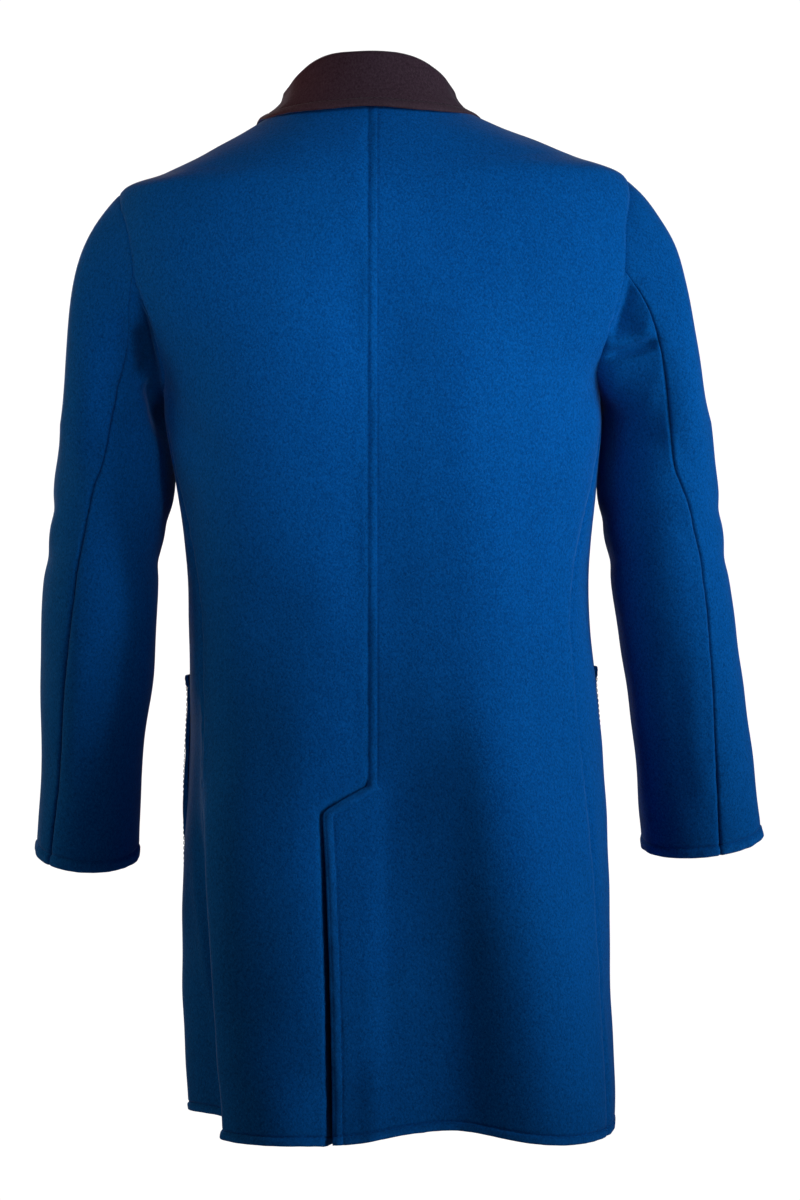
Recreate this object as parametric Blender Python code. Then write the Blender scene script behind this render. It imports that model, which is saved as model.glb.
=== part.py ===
"""Reversible overcoat, worn and empty: blue double-faced cloth with a plum brown reverse.

Metres, +Z up. The wearer faces -Y and the wearer's left is +X. The origin is the middle of the
neck, at the height where the coat hangs from the shoulders.
"""

import math
from collections import namedtuple

import bmesh
import bpy
from mathutils import Vector

# Cloth and seams
WALL = 0.0026
SEAM_GAP = 0.0004

# Body levels, measured down the centre back
HEM = -0.934
ARMPIT = -0.246
SHOULDER_TIP = -0.080
NECK = 0.006
SHOULDER_SEAM = math.radians(89.3)

# Armhole, from its top at the shoulder tip: how far it reaches back and forward
ARMHOLE_TOP_Y = 0.003
ARMHOLE_FOOT_Y = 0.018
ARMHOLE_BACK = 0.060
ARMHOLE_FRONT = 0.093
ARMHOLE_STEPS = 10

# Back vent: the right back laps over the left, its top sewn down on a slant
VENT_TOP = -0.6145
VENT_CORNER = -0.6385
VENT_LAP_TOP = 0.041
VENT_LAP_HEM = 0.033
VENT_UNDERLAP = 0.004
VENT_LIFT = 0.0020
VENT_SINK_TOP = 0.0036
VENT_SINK_HEM = 0.0060
VENT_SLOPE = 0.012

# Front: the left front laps over the right, and the lapels turn back from the top button up
FRONT_LAP = 0.022
FRONT_LIFT = 0.0018
FRONT_SINK = 0.0020
FRONT_EASE = 0.020
BREAK = -0.370
GORGE = -0.085
GORGE_X = 0.064
NECK_EDGE_X = 0.0765

# Where cloth turns back on itself, at the lapels and the collar
TURN_RADIUS = 0.0032
TURN_HEIGHT = 0.0064
TURN_BACK = 0.0018
TURN_GAP = 0.0014
LAPEL_CLEAR = 0.014
LEAF_LIFT = 0.0022
COLLAR_SAG = 0.0045
LEAF_SHARES = (0.15, 0.4, 0.7, 1.0)
COLLAR_STEPS = 2
LAPEL_STEPS = 2

# Patch pockets, as levels and angles round the body
POCKET_TOP = -0.513
POCKET_FOOT = -0.716
POCKET_BACK = math.radians(93.0)
POCKET_FRONT = math.radians(147.0)
POCKET_SEAT = 0.0011
POCKET_GAPE = 0.0035
POCKET_LEFT_DROP = 0.008

# Buttons
BUTTON_LEVELS = {"top": -0.385, "middle": -0.500, "bottom": -0.615}
BUTTON_RADIUS = 0.0125
BUTTON_HEIGHT = 0.0040
BUTTON_RIM = 0.0022
BUTTON_SIDES = 16
BUTTON_SEAT = 0.0007

# Colours, linear
BLUE = (0.006, 0.055, 0.210, 1.0)
PLUM = (0.030, 0.017, 0.020, 1.0)
HORN = (0.020, 0.012, 0.010, 1.0)

# Rings of the body: half-widths and depths, and how far the sides stand above the centre back
Ring = namedtuple("Ring", "level rise_left rise_right drop_front left right back front square")
BODY = (
    Ring(-0.934, 0.0, 0.0, 0.000, 0.170, 0.225, 0.142, 0.152, 2.4),
    Ring(-0.860, 0.0, 0.0, 0.000, 0.1755, 0.224, 0.140, 0.151, 2.4),
    Ring(-0.760, 0.0, 0.0, 0.000, 0.1785, 0.223, 0.136, 0.148, 2.4),
    Ring(-0.637, 0.0, 0.0, 0.000, 0.1755, 0.218, 0.127, 0.145, 2.4),
    Ring(-0.544, 0.0, 0.0, 0.000, 0.170, 0.211, 0.117, 0.141, 2.4),
    Ring(-0.460, 0.0, 0.0, 0.000, 0.167, 0.203, 0.111, 0.139, 2.4),
    Ring(-0.395, 0.0, 0.0, 0.000, 0.173, 0.205, 0.113, 0.140, 2.4),
    Ring(-0.340, 0.0, 0.0, 0.000, 0.182, 0.212, 0.118, 0.141, 2.4),
    Ring(-0.285, 0.0, 0.0, 0.000, 0.190, 0.216, 0.123, 0.141, 2.4),
    Ring(-0.246, 0.0, 0.0, 0.000, 0.1945, 0.2165, 0.1255, 0.139, 2.4),
    Ring(-0.212, 0.0, 0.0, 0.000, 0.214, 0.238, 0.1255, 0.136, 2.4),
    Ring(-0.163, 0.0, 0.001, 0.001, 0.242, 0.262, 0.122, 0.127, 2.4),
    Ring(-0.120, 0.002, 0.008, 0.003, 0.240, 0.255, 0.116, 0.113, 2.4),
    Ring(-0.080, 0.0065, 0.020, 0.005, 0.230, 0.2365, 0.106, 0.092, 2.4),
    Ring(-0.058, 0.0010, 0.016, 0.008, 0.192, 0.194, 0.0975, 0.080, 2.3),
    Ring(-0.035, -0.0035, 0.0105, 0.010, 0.151, 0.152, 0.0865, 0.066, 2.2),
    Ring(-0.012, -0.0045, 0.0035, 0.012, 0.112, 0.112, 0.0740, 0.050, 2.1),
    Ring(0.006, 0.0, 0.0, 0.012, 0.078, 0.078, 0.067, 0.030, 2.1),
)

# Where the side seam runs, as a distance behind the body's middle
SeamPoint = namedtuple("SeamPoint", "level behind")
SIDE_SEAM = (
    SeamPoint(-0.934, 0.074),
    SeamPoint(-0.640, 0.068),
    SeamPoint(-0.450, 0.058),
    SeamPoint(-0.330, 0.040),
    SeamPoint(-0.246, ARMHOLE_FOOT_Y),
)

# Hanging folds: depth is outwards at the hem, and hem_rise lifts the hem there
Fold = namedtuple("Fold", "angle_top angle_hem top depth width hem_rise")
FOLDS = (
    Fold(76.0, 73.0, -0.430, -0.042, 11.0, 0.000),
    Fold(-33.0, -36.0, -0.480, -0.014, 10.0, 0.008),
    Fold(-14.0, -17.0, -0.660, -0.004, 13.0, 0.008),
    Fold(-58.0, -61.0, -0.540, 0.010, 11.0, -0.002),
    Fold(30.0, 36.0, -0.580, 0.006, 12.0, 0.001),
    Fold(99.0, 98.0, -0.700, 0.000, 12.0, 0.009),
    Fold(-100.0, -104.0, -0.560, -0.007, 10.0, 0.002),
    Fold(128.0, 126.0, -0.700, 0.007, 11.0, 0.000),
    Fold(-140.0, -138.0, -0.660, -0.008, 12.0, 0.003),
)

# Sections of the sleeves: centre, half-width, half-depth, twist, and where the two seams run
Cuff = namedtuple("Cuff", "x y z wide deep twist hind fore")
SLEEVE_LEFT = (
    Cuff(0.2378, -0.010, -0.285, 0.0458, 0.0720, 20.0, 123.0, -110.0),
    Cuff(0.2380, -0.016, -0.339, 0.0544, 0.0690, 18.0, 102.0, -112.0),
    Cuff(0.2470, -0.012, -0.395, 0.0515, 0.0660, 12.0, 91.0, -114.0),
    Cuff(0.2520, -0.008, -0.451, 0.0527, 0.0630, 5.0, 76.0, -119.0),
    Cuff(0.2550, -0.014, -0.525, 0.0515, 0.0600, 0.0, 61.0, -122.0),
    Cuff(0.2600, -0.026, -0.600, 0.0485, 0.0580, 0.0, 57.0, -122.0),
    Cuff(0.2680, -0.046, -0.692, 0.0480, 0.0570, 0.0, 50.0, -122.0),
)
SLEEVE_RIGHT = (
    Cuff(0.2653, -0.010, -0.285, 0.0448, 0.0720, 20.0, 111.0, -110.0),
    Cuff(0.2664, -0.016, -0.339, 0.0528, 0.0690, 18.0, 97.0, -112.0),
    Cuff(0.2750, -0.012, -0.395, 0.0530, 0.0660, 12.0, 80.0, -114.0),
    Cuff(0.2830, -0.008, -0.451, 0.0547, 0.0630, 5.0, 69.0, -119.0),
    Cuff(0.2935, -0.012, -0.525, 0.0540, 0.0590, 0.0, 67.0, -122.0),
    Cuff(0.3040, -0.022, -0.600, 0.0545, 0.0540, 0.0, 74.0, -122.0),
    Cuff(0.3130, -0.040, -0.679, 0.0570, 0.0500, 0.0, 78.0, -122.0),
)
SLEEVE_HIND_AT_ARMHOLE = 90.0
SLEEVE_FORE_AT_ARMHOLE = -126.0
SLEEVE_TOP_SLANT = math.radians(50.0)
SLEEVE_FOOT_SLANT = math.radians(8.0)
SLEEVE_CAP_PULL = 1.15
SLEEVE_FLARE = 0.12
SLEEVE_CAP_ROWS = 6
SLEEVE_ARM_ROWS = 9

# Half of the collar from centre back to the front end: neck seam, fold and outer edge, and how
# much lower that edge hangs on the wearer's left, where the shoulder is lower
CollarStation = namedtuple("CollarStation", "seam fold edge left_fall")
COLLAR = (
    CollarStation((0.000, 0.0655, 0.0100), (0.000, 0.0710, 0.0450), (0.000, 0.0830, -0.0060), 0.0),
    CollarStation((0.036, 0.0570, 0.0100), (0.036, 0.0620, 0.0430), (0.042, 0.0765, -0.0080), 0.0),
    CollarStation((0.060, 0.0390, 0.0100), (0.060, 0.0440, 0.0330), (0.074, 0.0585, -0.0065), 0.0015),
    CollarStation((0.0745, 0.0120, 0.0095), (0.0745, 0.0120, 0.0220), (0.0925, 0.0340, -0.0010), 0.0062),
    CollarStation((0.0760, -0.0140, 0.0060), (0.0770, -0.0170, 0.0150), (0.1045, -0.0050, -0.0025), 0.0020),
)

# Rows of cloth turned back over the front: level of the turn, how far out the edge lies, its fall
Leaf = namedtuple("Leaf", "level outer fall")
COLLAR_FRONT = (
    Leaf(-0.012, 0.110, -0.012),
    Leaf(-0.035, 0.111, -0.016),
    Leaf(-0.060, 0.109, -0.016),
    Leaf(-0.0865, 0.102, -0.012),
)
LAPEL = (
    Leaf(-0.360, 0.002, 0.000),
    Leaf(-0.312, 0.036, 0.000),
    Leaf(-0.260, 0.066, -0.003),
    Leaf(-0.200, 0.095, -0.008),
    Leaf(-0.150, 0.114, -0.014),
    Leaf(-0.089, 0.129, -0.022),
)


def smooth(share):
    """0 below 0, 1 above 1, and an even curve between."""
    share = min(1.0, max(0.0, share))
    return share * share * (3.0 - 2.0 * share)


def along(table, name, at):
    """A column of a table at any value of its first column, on a smooth curve through its rows."""
    keys = [row[0] for row in table]
    values = [getattr(row, name) for row in table]
    if at <= keys[0]:
        return values[0]
    if at >= keys[-1]:
        return values[-1]
    last = len(keys) - 1
    i = max(k for k in range(last) if keys[k] <= at)

    def slope(k):
        low, high = max(0, k - 1), min(last, k + 1)
        return (values[high] - values[low]) / (keys[high] - keys[low])

    span = keys[i + 1] - keys[i]
    t = (at - keys[i]) / span
    a = values[i] * (1 + 2 * t) * (1 - t) ** 2 + slope(i) * span * t * (1 - t) ** 2
    b = values[i + 1] * t * t * (3 - 2 * t) + slope(i + 1) * span * t * t * (t - 1)
    return a + b


def ring_sizes(level, angle):
    """Half-width and depth of the body's ring on the side where this angle lies."""
    wide = along(BODY, "left" if math.sin(angle) >= 0 else "right", level)
    deep = along(BODY, "back" if math.cos(angle) >= 0 else "front", level)
    return wide, deep


def fold_amount(level, angle, name):
    """What the hanging folds add at a place: their depth, or their lift of the hem."""
    total = 0.0
    for fold in FOLDS:
        share = (fold.top - level) / (fold.top - HEM)
        if share <= 0:
            continue
        middle = fold.angle_top + (fold.angle_hem - fold.angle_top) * share
        turn = (math.degrees(angle) - middle + 180.0) % 360.0 - 180.0
        total += getattr(fold, name) * smooth(share) * math.exp(-0.5 * (turn / fold.width) ** 2)
    return total


def base_point(level, angle):
    """The outer face of the body at a level and an angle: 0 centre back, 90 the wearer's left."""
    wide, deep = ring_sizes(level, angle)
    s, c = math.sin(angle), math.cos(angle)
    power = along(BODY, "square", level)
    radius = (abs(s / wide) ** power + abs(c / deep) ** power) ** (-1.0 / power)
    radius += fold_amount(level, angle, "depth")
    rise = along(BODY, "rise_left" if s >= 0 else "rise_right", level) * s * s
    drop = along(BODY, "drop_front", level) * c * c if c < 0 else 0.0
    lift = fold_amount(level, angle, "hem_rise") * smooth((HEM + 0.25 - level) / 0.25)
    return Vector((radius * s, radius * c, level + rise - drop + lift))


def base_normal(level, angle):
    """The outward direction of the body's face."""
    step_angle, step_level = 0.004, 0.0008
    round_it = base_point(level, angle + step_angle) - base_point(level, angle - step_angle)
    up = base_point(level + step_level, angle) - base_point(level - step_level, angle)
    return up.cross(round_it).normalized()


def raised(level, angle, out):
    """A point of the body moved out of its face."""
    return base_point(level, angle) + base_normal(level, angle) * out


def angle_at_x(level, x, front):
    """The angle where the ring at this level crosses a distance to the wearer's left."""
    wide, deep = ring_sizes(level, math.copysign(0.1, x) if not front else math.copysign(3.0, x))
    power = along(BODY, "square", level)
    y = deep * max(0.0, 1.0 - abs(x / wide) ** power) ** (1.0 / power)
    return math.atan2(x, -y if front else y)


def angle_at_y(level, y, left):
    """The angle on one side where the ring at this level crosses a distance behind the middle."""
    side = 1.0 if left else -1.0
    wide, deep = ring_sizes(level, side * (0.5 if y >= 0 else 2.6))
    power = along(BODY, "square", level)
    x = wide * max(0.0, 1.0 - abs(y / deep) ** power) ** (1.0 / power)
    return math.atan2(side * x, y)


def armhole_level(turn):
    """The body level of a point of the armhole, where turn 0 is its top and 180 its foot."""
    return ARMPIT + (SHOULDER_TIP - ARMPIT) * (1.0 + math.cos(math.radians(turn))) / 2.0


def armhole_angle(turn, left):
    """The body angle of a point of the armhole: turn runs from the top backwards."""
    t = math.radians(turn)
    deep = ARMHOLE_BACK if math.sin(t) >= 0 else ARMHOLE_FRONT
    y = ARMHOLE_TOP_Y + (ARMHOLE_FOOT_Y - ARMHOLE_TOP_Y) * (1 - math.cos(t)) / 2 + deep * math.sin(t)
    return angle_at_y(armhole_level(turn), y, left)


def side_edge(level, left, back):
    """The angle where a body panel ends at its side: side seam, armhole or shoulder seam."""
    side = 1.0 if left else -1.0
    if level >= SHOULDER_TIP - 1e-9:
        return side * SHOULDER_SEAM
    if level > ARMPIT + 1e-9:
        share = (level - ARMPIT) / (SHOULDER_TIP - ARMPIT)
        turn = math.degrees(math.acos(max(-1.0, min(1.0, 2.0 * share - 1.0))))
        return armhole_angle(turn if back else -turn, left)
    return angle_at_y(level, along(SIDE_SEAM, "behind", level), left)


def gap_angle(level, angle):
    """Half of a seam's gap as an angle at this place."""
    return 0.5 * SEAM_GAP / Vector(base_point(level, angle).xy).length


def row_levels():
    """Levels of the rows of every body panel, from the hem to the neck."""
    lower = [HEM, -0.900, -0.850, -0.795, -0.740, -0.685, VENT_CORNER, -0.6265, VENT_TOP, -0.600]
    lower += [-0.560, -0.510, -0.460, -0.415, BREAK, -0.330, -0.300, -0.270]
    turns = [180.0 - 180.0 * i / ARMHOLE_STEPS for i in range(ARMHOLE_STEPS + 1)]
    upper = [-0.069, -0.058, -0.0465, -0.035, -0.0235, -0.012, NECK]
    return lower + [armhole_level(t) for t in turns] + upper


def vent_lap(level):
    """How far past centre back the right back reaches at a level."""
    if level >= VENT_TOP:
        return 0.0
    if level >= VENT_CORNER:
        return VENT_LAP_TOP * (VENT_TOP - level) / (VENT_TOP - VENT_CORNER)
    share = (VENT_CORNER - level) / (VENT_CORNER - HEM)
    return VENT_LAP_TOP + (VENT_LAP_HEM - VENT_LAP_TOP) * share


def vent_clearance(level, x):
    """How far a point of the left back lies outside the vent's lap, and 0 under it."""
    slant = Vector((VENT_LAP_TOP, VENT_CORNER - VENT_TOP)).normalized()
    over_slant = (x * -slant.y) + (level - VENT_TOP) * slant.x
    beside = x - vent_lap(min(level, VENT_CORNER))
    return max(0.0, over_slant, beside if level < VENT_CORNER else over_slant)


def vent_sink(level, x):
    """How deep the left back lies under the vent's lap."""
    share = min(1.0, max(0.0, (VENT_TOP - level) / (VENT_TOP - HEM)))
    deep = VENT_SINK_TOP + (VENT_SINK_HEM - VENT_SINK_TOP) * share
    return deep * (1.0 - smooth(vent_clearance(level, x) / VENT_SLOPE))


def vent_rise(level, x):
    """How far the right back stands up where it laps over the left."""
    return VENT_LIFT * smooth((x + 0.02) / 0.02) * smooth((VENT_TOP + 0.004 - level) / 0.012)


def front_edge(level):
    """Where the left front's edge lies: its lap, then the roll line, then the neck."""
    if level <= BREAK:
        return -FRONT_LAP
    if level <= GORGE:
        return -FRONT_LAP + (GORGE_X + FRONT_LAP) * (level - BREAK) / (GORGE - BREAK)
    return GORGE_X + (NECK_EDGE_X - GORGE_X) * (level - GORGE) / (NECK - GORGE)


def front_raise(level, x):
    """How far the upper front stands out over the lower one at a distance from its free edge."""
    return smooth((2 * FRONT_LAP + FRONT_EASE - x) / FRONT_EASE) * smooth((-0.20 - level) / 0.10)


def solid(name, outer, inner, colour, closed_round=False):
    """A wall between two equal grids of points, as one closed mesh object."""
    mesh = bmesh.new()
    rows, columns = len(outer), len(outer[0])
    a = [[mesh.verts.new(p) for p in row] for row in outer]
    b = [[mesh.verts.new(p) for p in row] for row in inner]
    wrap = columns if closed_round else columns - 1
    for i in range(rows - 1):
        for j in range(wrap):
            k = (j + 1) % columns
            mesh.faces.new((a[i][j], a[i][k], a[i + 1][k], a[i + 1][j]))
            mesh.faces.new((b[i][j], b[i + 1][j], b[i + 1][k], b[i][k]))
    for j in range(wrap):
        k = (j + 1) % columns
        mesh.faces.new((a[0][k], a[0][j], b[0][j], b[0][k]))
        mesh.faces.new((a[-1][j], a[-1][k], b[-1][k], b[-1][j]))
    if not closed_round:
        for i in range(rows - 1):
            mesh.faces.new((a[i][0], a[i + 1][0], b[i + 1][0], b[i][0]))
            mesh.faces.new((a[i + 1][-1], a[i][-1], b[i][-1], b[i + 1][-1]))
    bmesh.ops.recalc_face_normals(mesh, faces=mesh.faces)
    return finished(name, mesh, colour)


def finished(name, mesh, colour):
    """Turns a bmesh into a named object with its own material, round faces shaded smooth."""
    data = bpy.data.meshes.new(name)
    mesh.to_mesh(data)
    mesh.free()
    data.shade_smooth()
    data.set_sharp_from_angle(angle=math.radians(50))
    material = bpy.data.materials.new(name + "_cloth")
    material.use_nodes = True
    shader = material.node_tree.nodes["Principled BSDF"]
    shader.inputs["Base Color"].default_value = colour
    shader.inputs["Roughness"].default_value = 0.9
    shader.inputs["Metallic"].default_value = 0.0
    data.materials.append(material)
    made = bpy.data.objects.new(name, data)
    bpy.context.scene.collection.objects.link(made)
    return made


def body_panel(name, rows):
    """A body panel from rows of (level, angle, out), where out raises or sinks the cloth."""
    outer = [[raised(level, angle, out) for level, angle, out in row] for row in rows]
    inner = [[raised(level, angle, out - WALL) for level, angle, out in row] for row in rows]
    return solid(name, outer, inner, BLUE)


def back_row(level, left):
    """One row of a back panel, from centre back or the vent's edge to the side."""
    side = 1.0 if left else -1.0
    lap = vent_lap(level)
    end = side_edge(level, left, True)
    end -= side * gap_angle(level, end)
    if left:
        guide = min(vent_lap(min(level, VENT_CORNER)), 0.3 * abs(base_point(level, end).x))
        first = 0.5 * SEAM_GAP if level >= VENT_TOP else -VENT_UNDERLAP * smooth(lap / VENT_LAP_TOP)
        near = [first, 0.5 * guide, guide - 0.001, guide + VENT_SLOPE + 0.001]
    else:
        first = lap if lap > 0 else -0.5 * SEAM_GAP
        last = -min(0.030, 0.35 * abs(base_point(level, end).x))
        near = [first + (last - first) * k / 3.0 for k in range(4)]
    angles = [angle_at_x(level, x, False) for x in near]
    angles += [angles[-1] + (end - angles[-1]) * k / 6.0 for k in range(1, 7)]
    row = []
    for angle in angles:
        x = base_point(level, angle).x
        out = -vent_sink(level, x) if left else vent_rise(level, x)
        row.append((level, angle, out))
    return row


def back_panels():
    """Left and right back, with the vent's underlap and lap."""
    for left in (True, False):
        rows = [back_row(level, left) for level in row_levels()]
        body_panel("back_left" if left else "back_right", rows)


def front_row(level, left):
    """One row of a front panel, from the side to its free edge."""
    side = 1.0 if left else -1.0
    start = side_edge(level, left, False)
    start += side * gap_angle(level, start)
    edge = angle_at_x(level, side * front_edge(level), True) % (2 * math.pi)
    if not left:
        edge -= 2 * math.pi
    columns = 10
    row = []
    for k in range(columns + 1):
        angle = start + (edge - start) * k / columns
        x = side * base_point(level, angle).x
        out = front_raise(level, x + FRONT_LAP) * (FRONT_LIFT if left else -FRONT_SINK)
        row.append((level, angle, out))
    return row


def front_panels():
    """Left and right front, from the hem to the roll line, the neck and the shoulder."""
    for left in (True, False):
        rows = [front_row(level, left) for level in row_levels()]
        body_panel("front_left" if left else "front_right", rows)


def sleeve_frame(sections, i, side):
    """Centre, outward direction, backward direction and axis of one sleeve section."""
    centres = [Vector((side * s.x, s.y, s.z)) for s in sections]
    low, high = max(0, i - 1), min(len(centres) - 1, i + 1)
    axis = (centres[high] - centres[low]).normalized()
    out = Vector((side, 0.0, 0.0))
    out = (out - axis * out.dot(axis)).normalized()
    back = Vector((0.0, 1.0, 0.0))
    back = (back - axis * back.dot(axis) - out * back.dot(out)).normalized()
    return centres[i], out, back, axis


def sleeve_section(sections, place, side):
    """A section between two rows of the table: sizes and frame, evenly blended."""
    i = min(len(sections) - 2, int(place))
    t = place - i
    path = [sleeve_frame(sections, k, side) for k in (i, i + 1)]
    span = (path[1][0] - path[0][0]).length
    a, b = path[0][0], path[1][0]
    ta, tb = path[0][3] * span, path[1][3] * span
    centre = a * (1 + 2 * t) * (1 - t) ** 2 + ta * t * (1 - t) ** 2
    centre += b * t * t * (3 - 2 * t) + tb * t * t * (t - 1)
    out = path[0][1].lerp(path[1][1], t).normalized()
    back = path[0][2].lerp(path[1][2], t).normalized()
    low, high = sections[i], sections[i + 1]
    sizes = [getattr(low, n) + (getattr(high, n) - getattr(low, n)) * t for n in Cuff._fields[3:]]
    return centre, out, back, sizes


def sleeve_turns(hind, fore, top_columns, under_columns):
    """Turns round a sleeve: the top sleeve from fore to hind seam, then the under sleeve."""
    top = [fore + (hind - fore) * k / top_columns for k in range(top_columns)]
    under = [hind + (fore + 360.0 - hind) * k / under_columns for k in range(under_columns)]
    return top + under


def sleeve_grid(left):
    """Rings of a sleeve's outer face, from the armhole to the cuff, all the way round."""
    side = 1.0 if left else -1.0
    sections = SLEEVE_LEFT if left else SLEEVE_RIGHT
    step = 180.0 / ARMHOLE_STEPS
    top_columns = round((SLEEVE_HIND_AT_ARMHOLE - SLEEVE_FORE_AT_ARMHOLE) / step)
    under_columns = 2 * ARMHOLE_STEPS - top_columns
    starts = sleeve_turns(SLEEVE_HIND_AT_ARMHOLE, SLEEVE_FORE_AT_ARMHOLE, top_columns, under_columns)

    def ring(place):
        centre, out, back, sizes = sleeve_section(sections, place, side)
        wide, deep, twist, hind, fore = sizes
        c, s = math.cos(math.radians(twist)), math.sin(math.radians(twist))
        across, along_arm = out * c - back * s, back * c + out * s
        points = []
        for turn in sleeve_turns(hind, fore, top_columns, under_columns):
            t = math.radians(turn)
            points.append(centre + across * wide * math.cos(t) + along_arm * deep * math.sin(t))
        return points

    biceps, below = ring(0.0), ring(0.4)
    grid = []
    for row in range(SLEEVE_CAP_ROWS):
        t = row / SLEEVE_CAP_ROWS
        points = []
        for start, end, after in zip(starts, biceps, below):
            turn = (start + 180.0) % 360.0 - 180.0
            first = base_point(armhole_level(turn), armhole_angle(turn, left))
            first.x += side * SEAM_GAP
            high = 0.5 + 0.5 * math.cos(math.radians(turn))
            slant = SLEEVE_FOOT_SLANT + (SLEEVE_TOP_SLANT - SLEEVE_FOOT_SLANT) * high
            reach = (end - first).length
            away = Vector((side * math.sin(slant), 0.0, -math.cos(slant))) * reach * SLEEVE_CAP_PULL
            p = first * (1 + 2 * t) * (1 - t) ** 2 + away * t * (1 - t) ** 2
            leaving = (after - end).normalized()
            leaving.x += side * SLEEVE_FLARE * math.cos(math.radians(turn))
            p += end * t * t * (3 - 2 * t) + leaving * reach * t * t * (t - 1)
            points.append(p)
        grid.append(points)
    last = len(sections) - 1
    grid += [ring(last * k / SLEEVE_ARM_ROWS) for k in range(SLEEVE_ARM_ROWS + 1)]
    return grid, top_columns, starts


def ring_normals(grid, sign):
    """Outward normals of a grid of rings, each closed on itself."""
    rows, columns = len(grid), len(grid[0])
    normals = []
    for i in range(rows):
        line = []
        for j in range(columns):
            round_it = grid[i][(j + 1) % columns] - grid[i][j - 1]
            down = grid[min(rows - 1, i + 1)][j] - grid[max(0, i - 1)][j]
            normal = round_it.cross(down).normalized()
            line.append(normal * sign)
        normals.append(line)
    return normals


def sleeves():
    """Top sleeve and under sleeve of each arm."""
    for left in (True, False):
        side = 1.0 if left else -1.0
        grid, split, starts = sleeve_grid(left)
        normals = ring_normals(grid, -side)
        columns = len(grid[0])
        for j, start in enumerate(starts):
            turn = (start + 180.0) % 360.0 - 180.0
            body = base_normal(armhole_level(turn), armhole_angle(turn, left))
            share = smooth(0.75 + 0.75 * math.cos(math.radians(turn)))
            normals[0][j] = normals[0][j].lerp(body, share).normalized()
        name = "left" if left else "right"
        top, under = range(0, split + 1), range(split, columns + 1)
        for node, span in (("sleeve_top_" + name, top), ("sleeve_under_" + name, under)):
            outer, inner = [], []
            for i, ring in enumerate(grid):
                line = [ring[j % columns].copy() for j in span]
                facing = [normals[i][j % columns] for j in span]
                line[0] += (line[1] - line[0]).normalized() * 1.3 * SEAM_GAP
                line[-1] += (line[-2] - line[-1]).normalized() * 1.3 * SEAM_GAP
                outer.append(line)
                inner.append([p - n * WALL for p, n in zip(line, facing)])
            solid(node, outer, inner, BLUE)


def grid_normals(grid):
    """Normals of an open grid of points."""
    rows, columns = len(grid), len(grid[0])
    normals = []
    for i in range(rows):
        line = []
        for j in range(columns):
            across = grid[i][min(columns - 1, j + 1)] - grid[i][max(0, j - 1)]
            down = grid[min(rows - 1, i + 1)][j] - grid[max(0, i - 1)][j]
            line.append(across.cross(down).normalized())
        normals.append(line)
    return normals


def sheet_solid(name, grid, colour):
    """A wall whose middle runs through a grid of points."""
    normals = grid_normals(grid)
    half = 0.5 * WALL
    outer = [[p + n * half for p, n in zip(*pair)] for pair in zip(grid, normals)]
    inner = [[p - n * half for p, n in zip(*pair)] for pair in zip(grid, normals)]
    return solid(name, outer, inner, colour)


def turned(seam, fold, edge):
    """A path from a seam up to a fold and round it, ending at the start of the turned leaf."""
    up = (fold - seam).normalized()
    out = (edge - seam) - up * (edge - seam).dot(up)
    out.normalize()
    middle = fold - up * TURN_RADIUS
    path = [seam, seam.lerp(middle - out * TURN_RADIUS, 0.5)]
    for degrees in (180.0, 135.0, 90.0, 45.0, 0.0):
        t = math.radians(degrees)
        path.append(middle + (out * math.cos(t) + up * math.sin(t)) * TURN_RADIUS)
    return path


def front_leaf(leaf, side):
    """A row of cloth that turns at the front's edge and lies back over it."""
    level, x_in = leaf.level, front_edge(leaf.level)
    covered = side < 0 and x_in < LAPEL_CLEAR
    if covered:
        x_in = max(x_in, LAPEL_CLEAR - x_in)

    def over(share, out):
        at = level + leaf.fall * share
        x = x_in + (leaf.outer - x_in) * share
        lap = front_raise(at, x + FRONT_LAP) * (FRONT_LIFT if side > 0 else -FRONT_SINK)
        angle = angle_at_x(at, side * x, True)
        return raised(at, angle, out + lap)

    leaf_points = [over(share, LEAF_LIFT + 0.5 * WALL) for share in LEAF_SHARES]
    away = (over(0.2, 0.0) - over(0.0, 0.0)).normalized()
    up = base_normal(level, angle_at_x(level, side * x_in, True))
    seam = over(0.0, LEAF_LIFT + 0.5 * WALL if covered else -0.5 * WALL) - away * TURN_GAP
    fold = seam + up * TURN_HEIGHT - away * TURN_BACK
    return turned(seam, fold, leaf_points[-1]) + leaf_points


def back_leaf(station, side):
    """A row of the collar where its leaf falls free behind the neck."""
    seam, fold, edge = (Vector((side * p[0], p[1], p[2])) for p in station[:3])
    edge.z -= station.left_fall if side > 0 else 0.0
    path = turned(seam, fold, edge)
    out = Vector((edge.x - seam.x, edge.y - seam.y, 0.0)).normalized()
    for share in LEAF_SHARES:
        path.append(path[6].lerp(edge, share) - out * COLLAR_SAG * 4.0 * share * (1.0 - share))
    return path


def blended(rows, steps):
    """More rows between the given ones, each point on a smooth curve."""
    made = []
    last = len(rows) - 1
    for i in range(last):
        before, after = rows[max(0, i - 1)], rows[min(last, i + 2)]
        for k in range(steps):
            t = k / steps
            line = []
            for a, b, c, d in zip(before, rows[i], rows[i + 1], after):
                p = b * (1 + 2 * t) * (1 - t) ** 2 + (c - a) * 0.5 * t * (1 - t) ** 2
                p += c * t * t * (3 - 2 * t) + (d - b) * 0.5 * t * t * (t - 1)
                line.append(p)
            made.append(line)
    made.append(rows[-1])
    return made


def lapels():
    """Each front's upper edge, turned back and showing the reverse of the cloth."""
    for side, name in ((1.0, "lapel_left"), (-1.0, "lapel_right")):
        leaves = [leaf for leaf in LAPEL if side > 0 or leaf.outer > LAPEL_CLEAR - front_edge(leaf.level)]
        rows = blended([front_leaf(leaf, side) for leaf in leaves], LAPEL_STEPS)
        sheet_solid(name, rows, PLUM)


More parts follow.
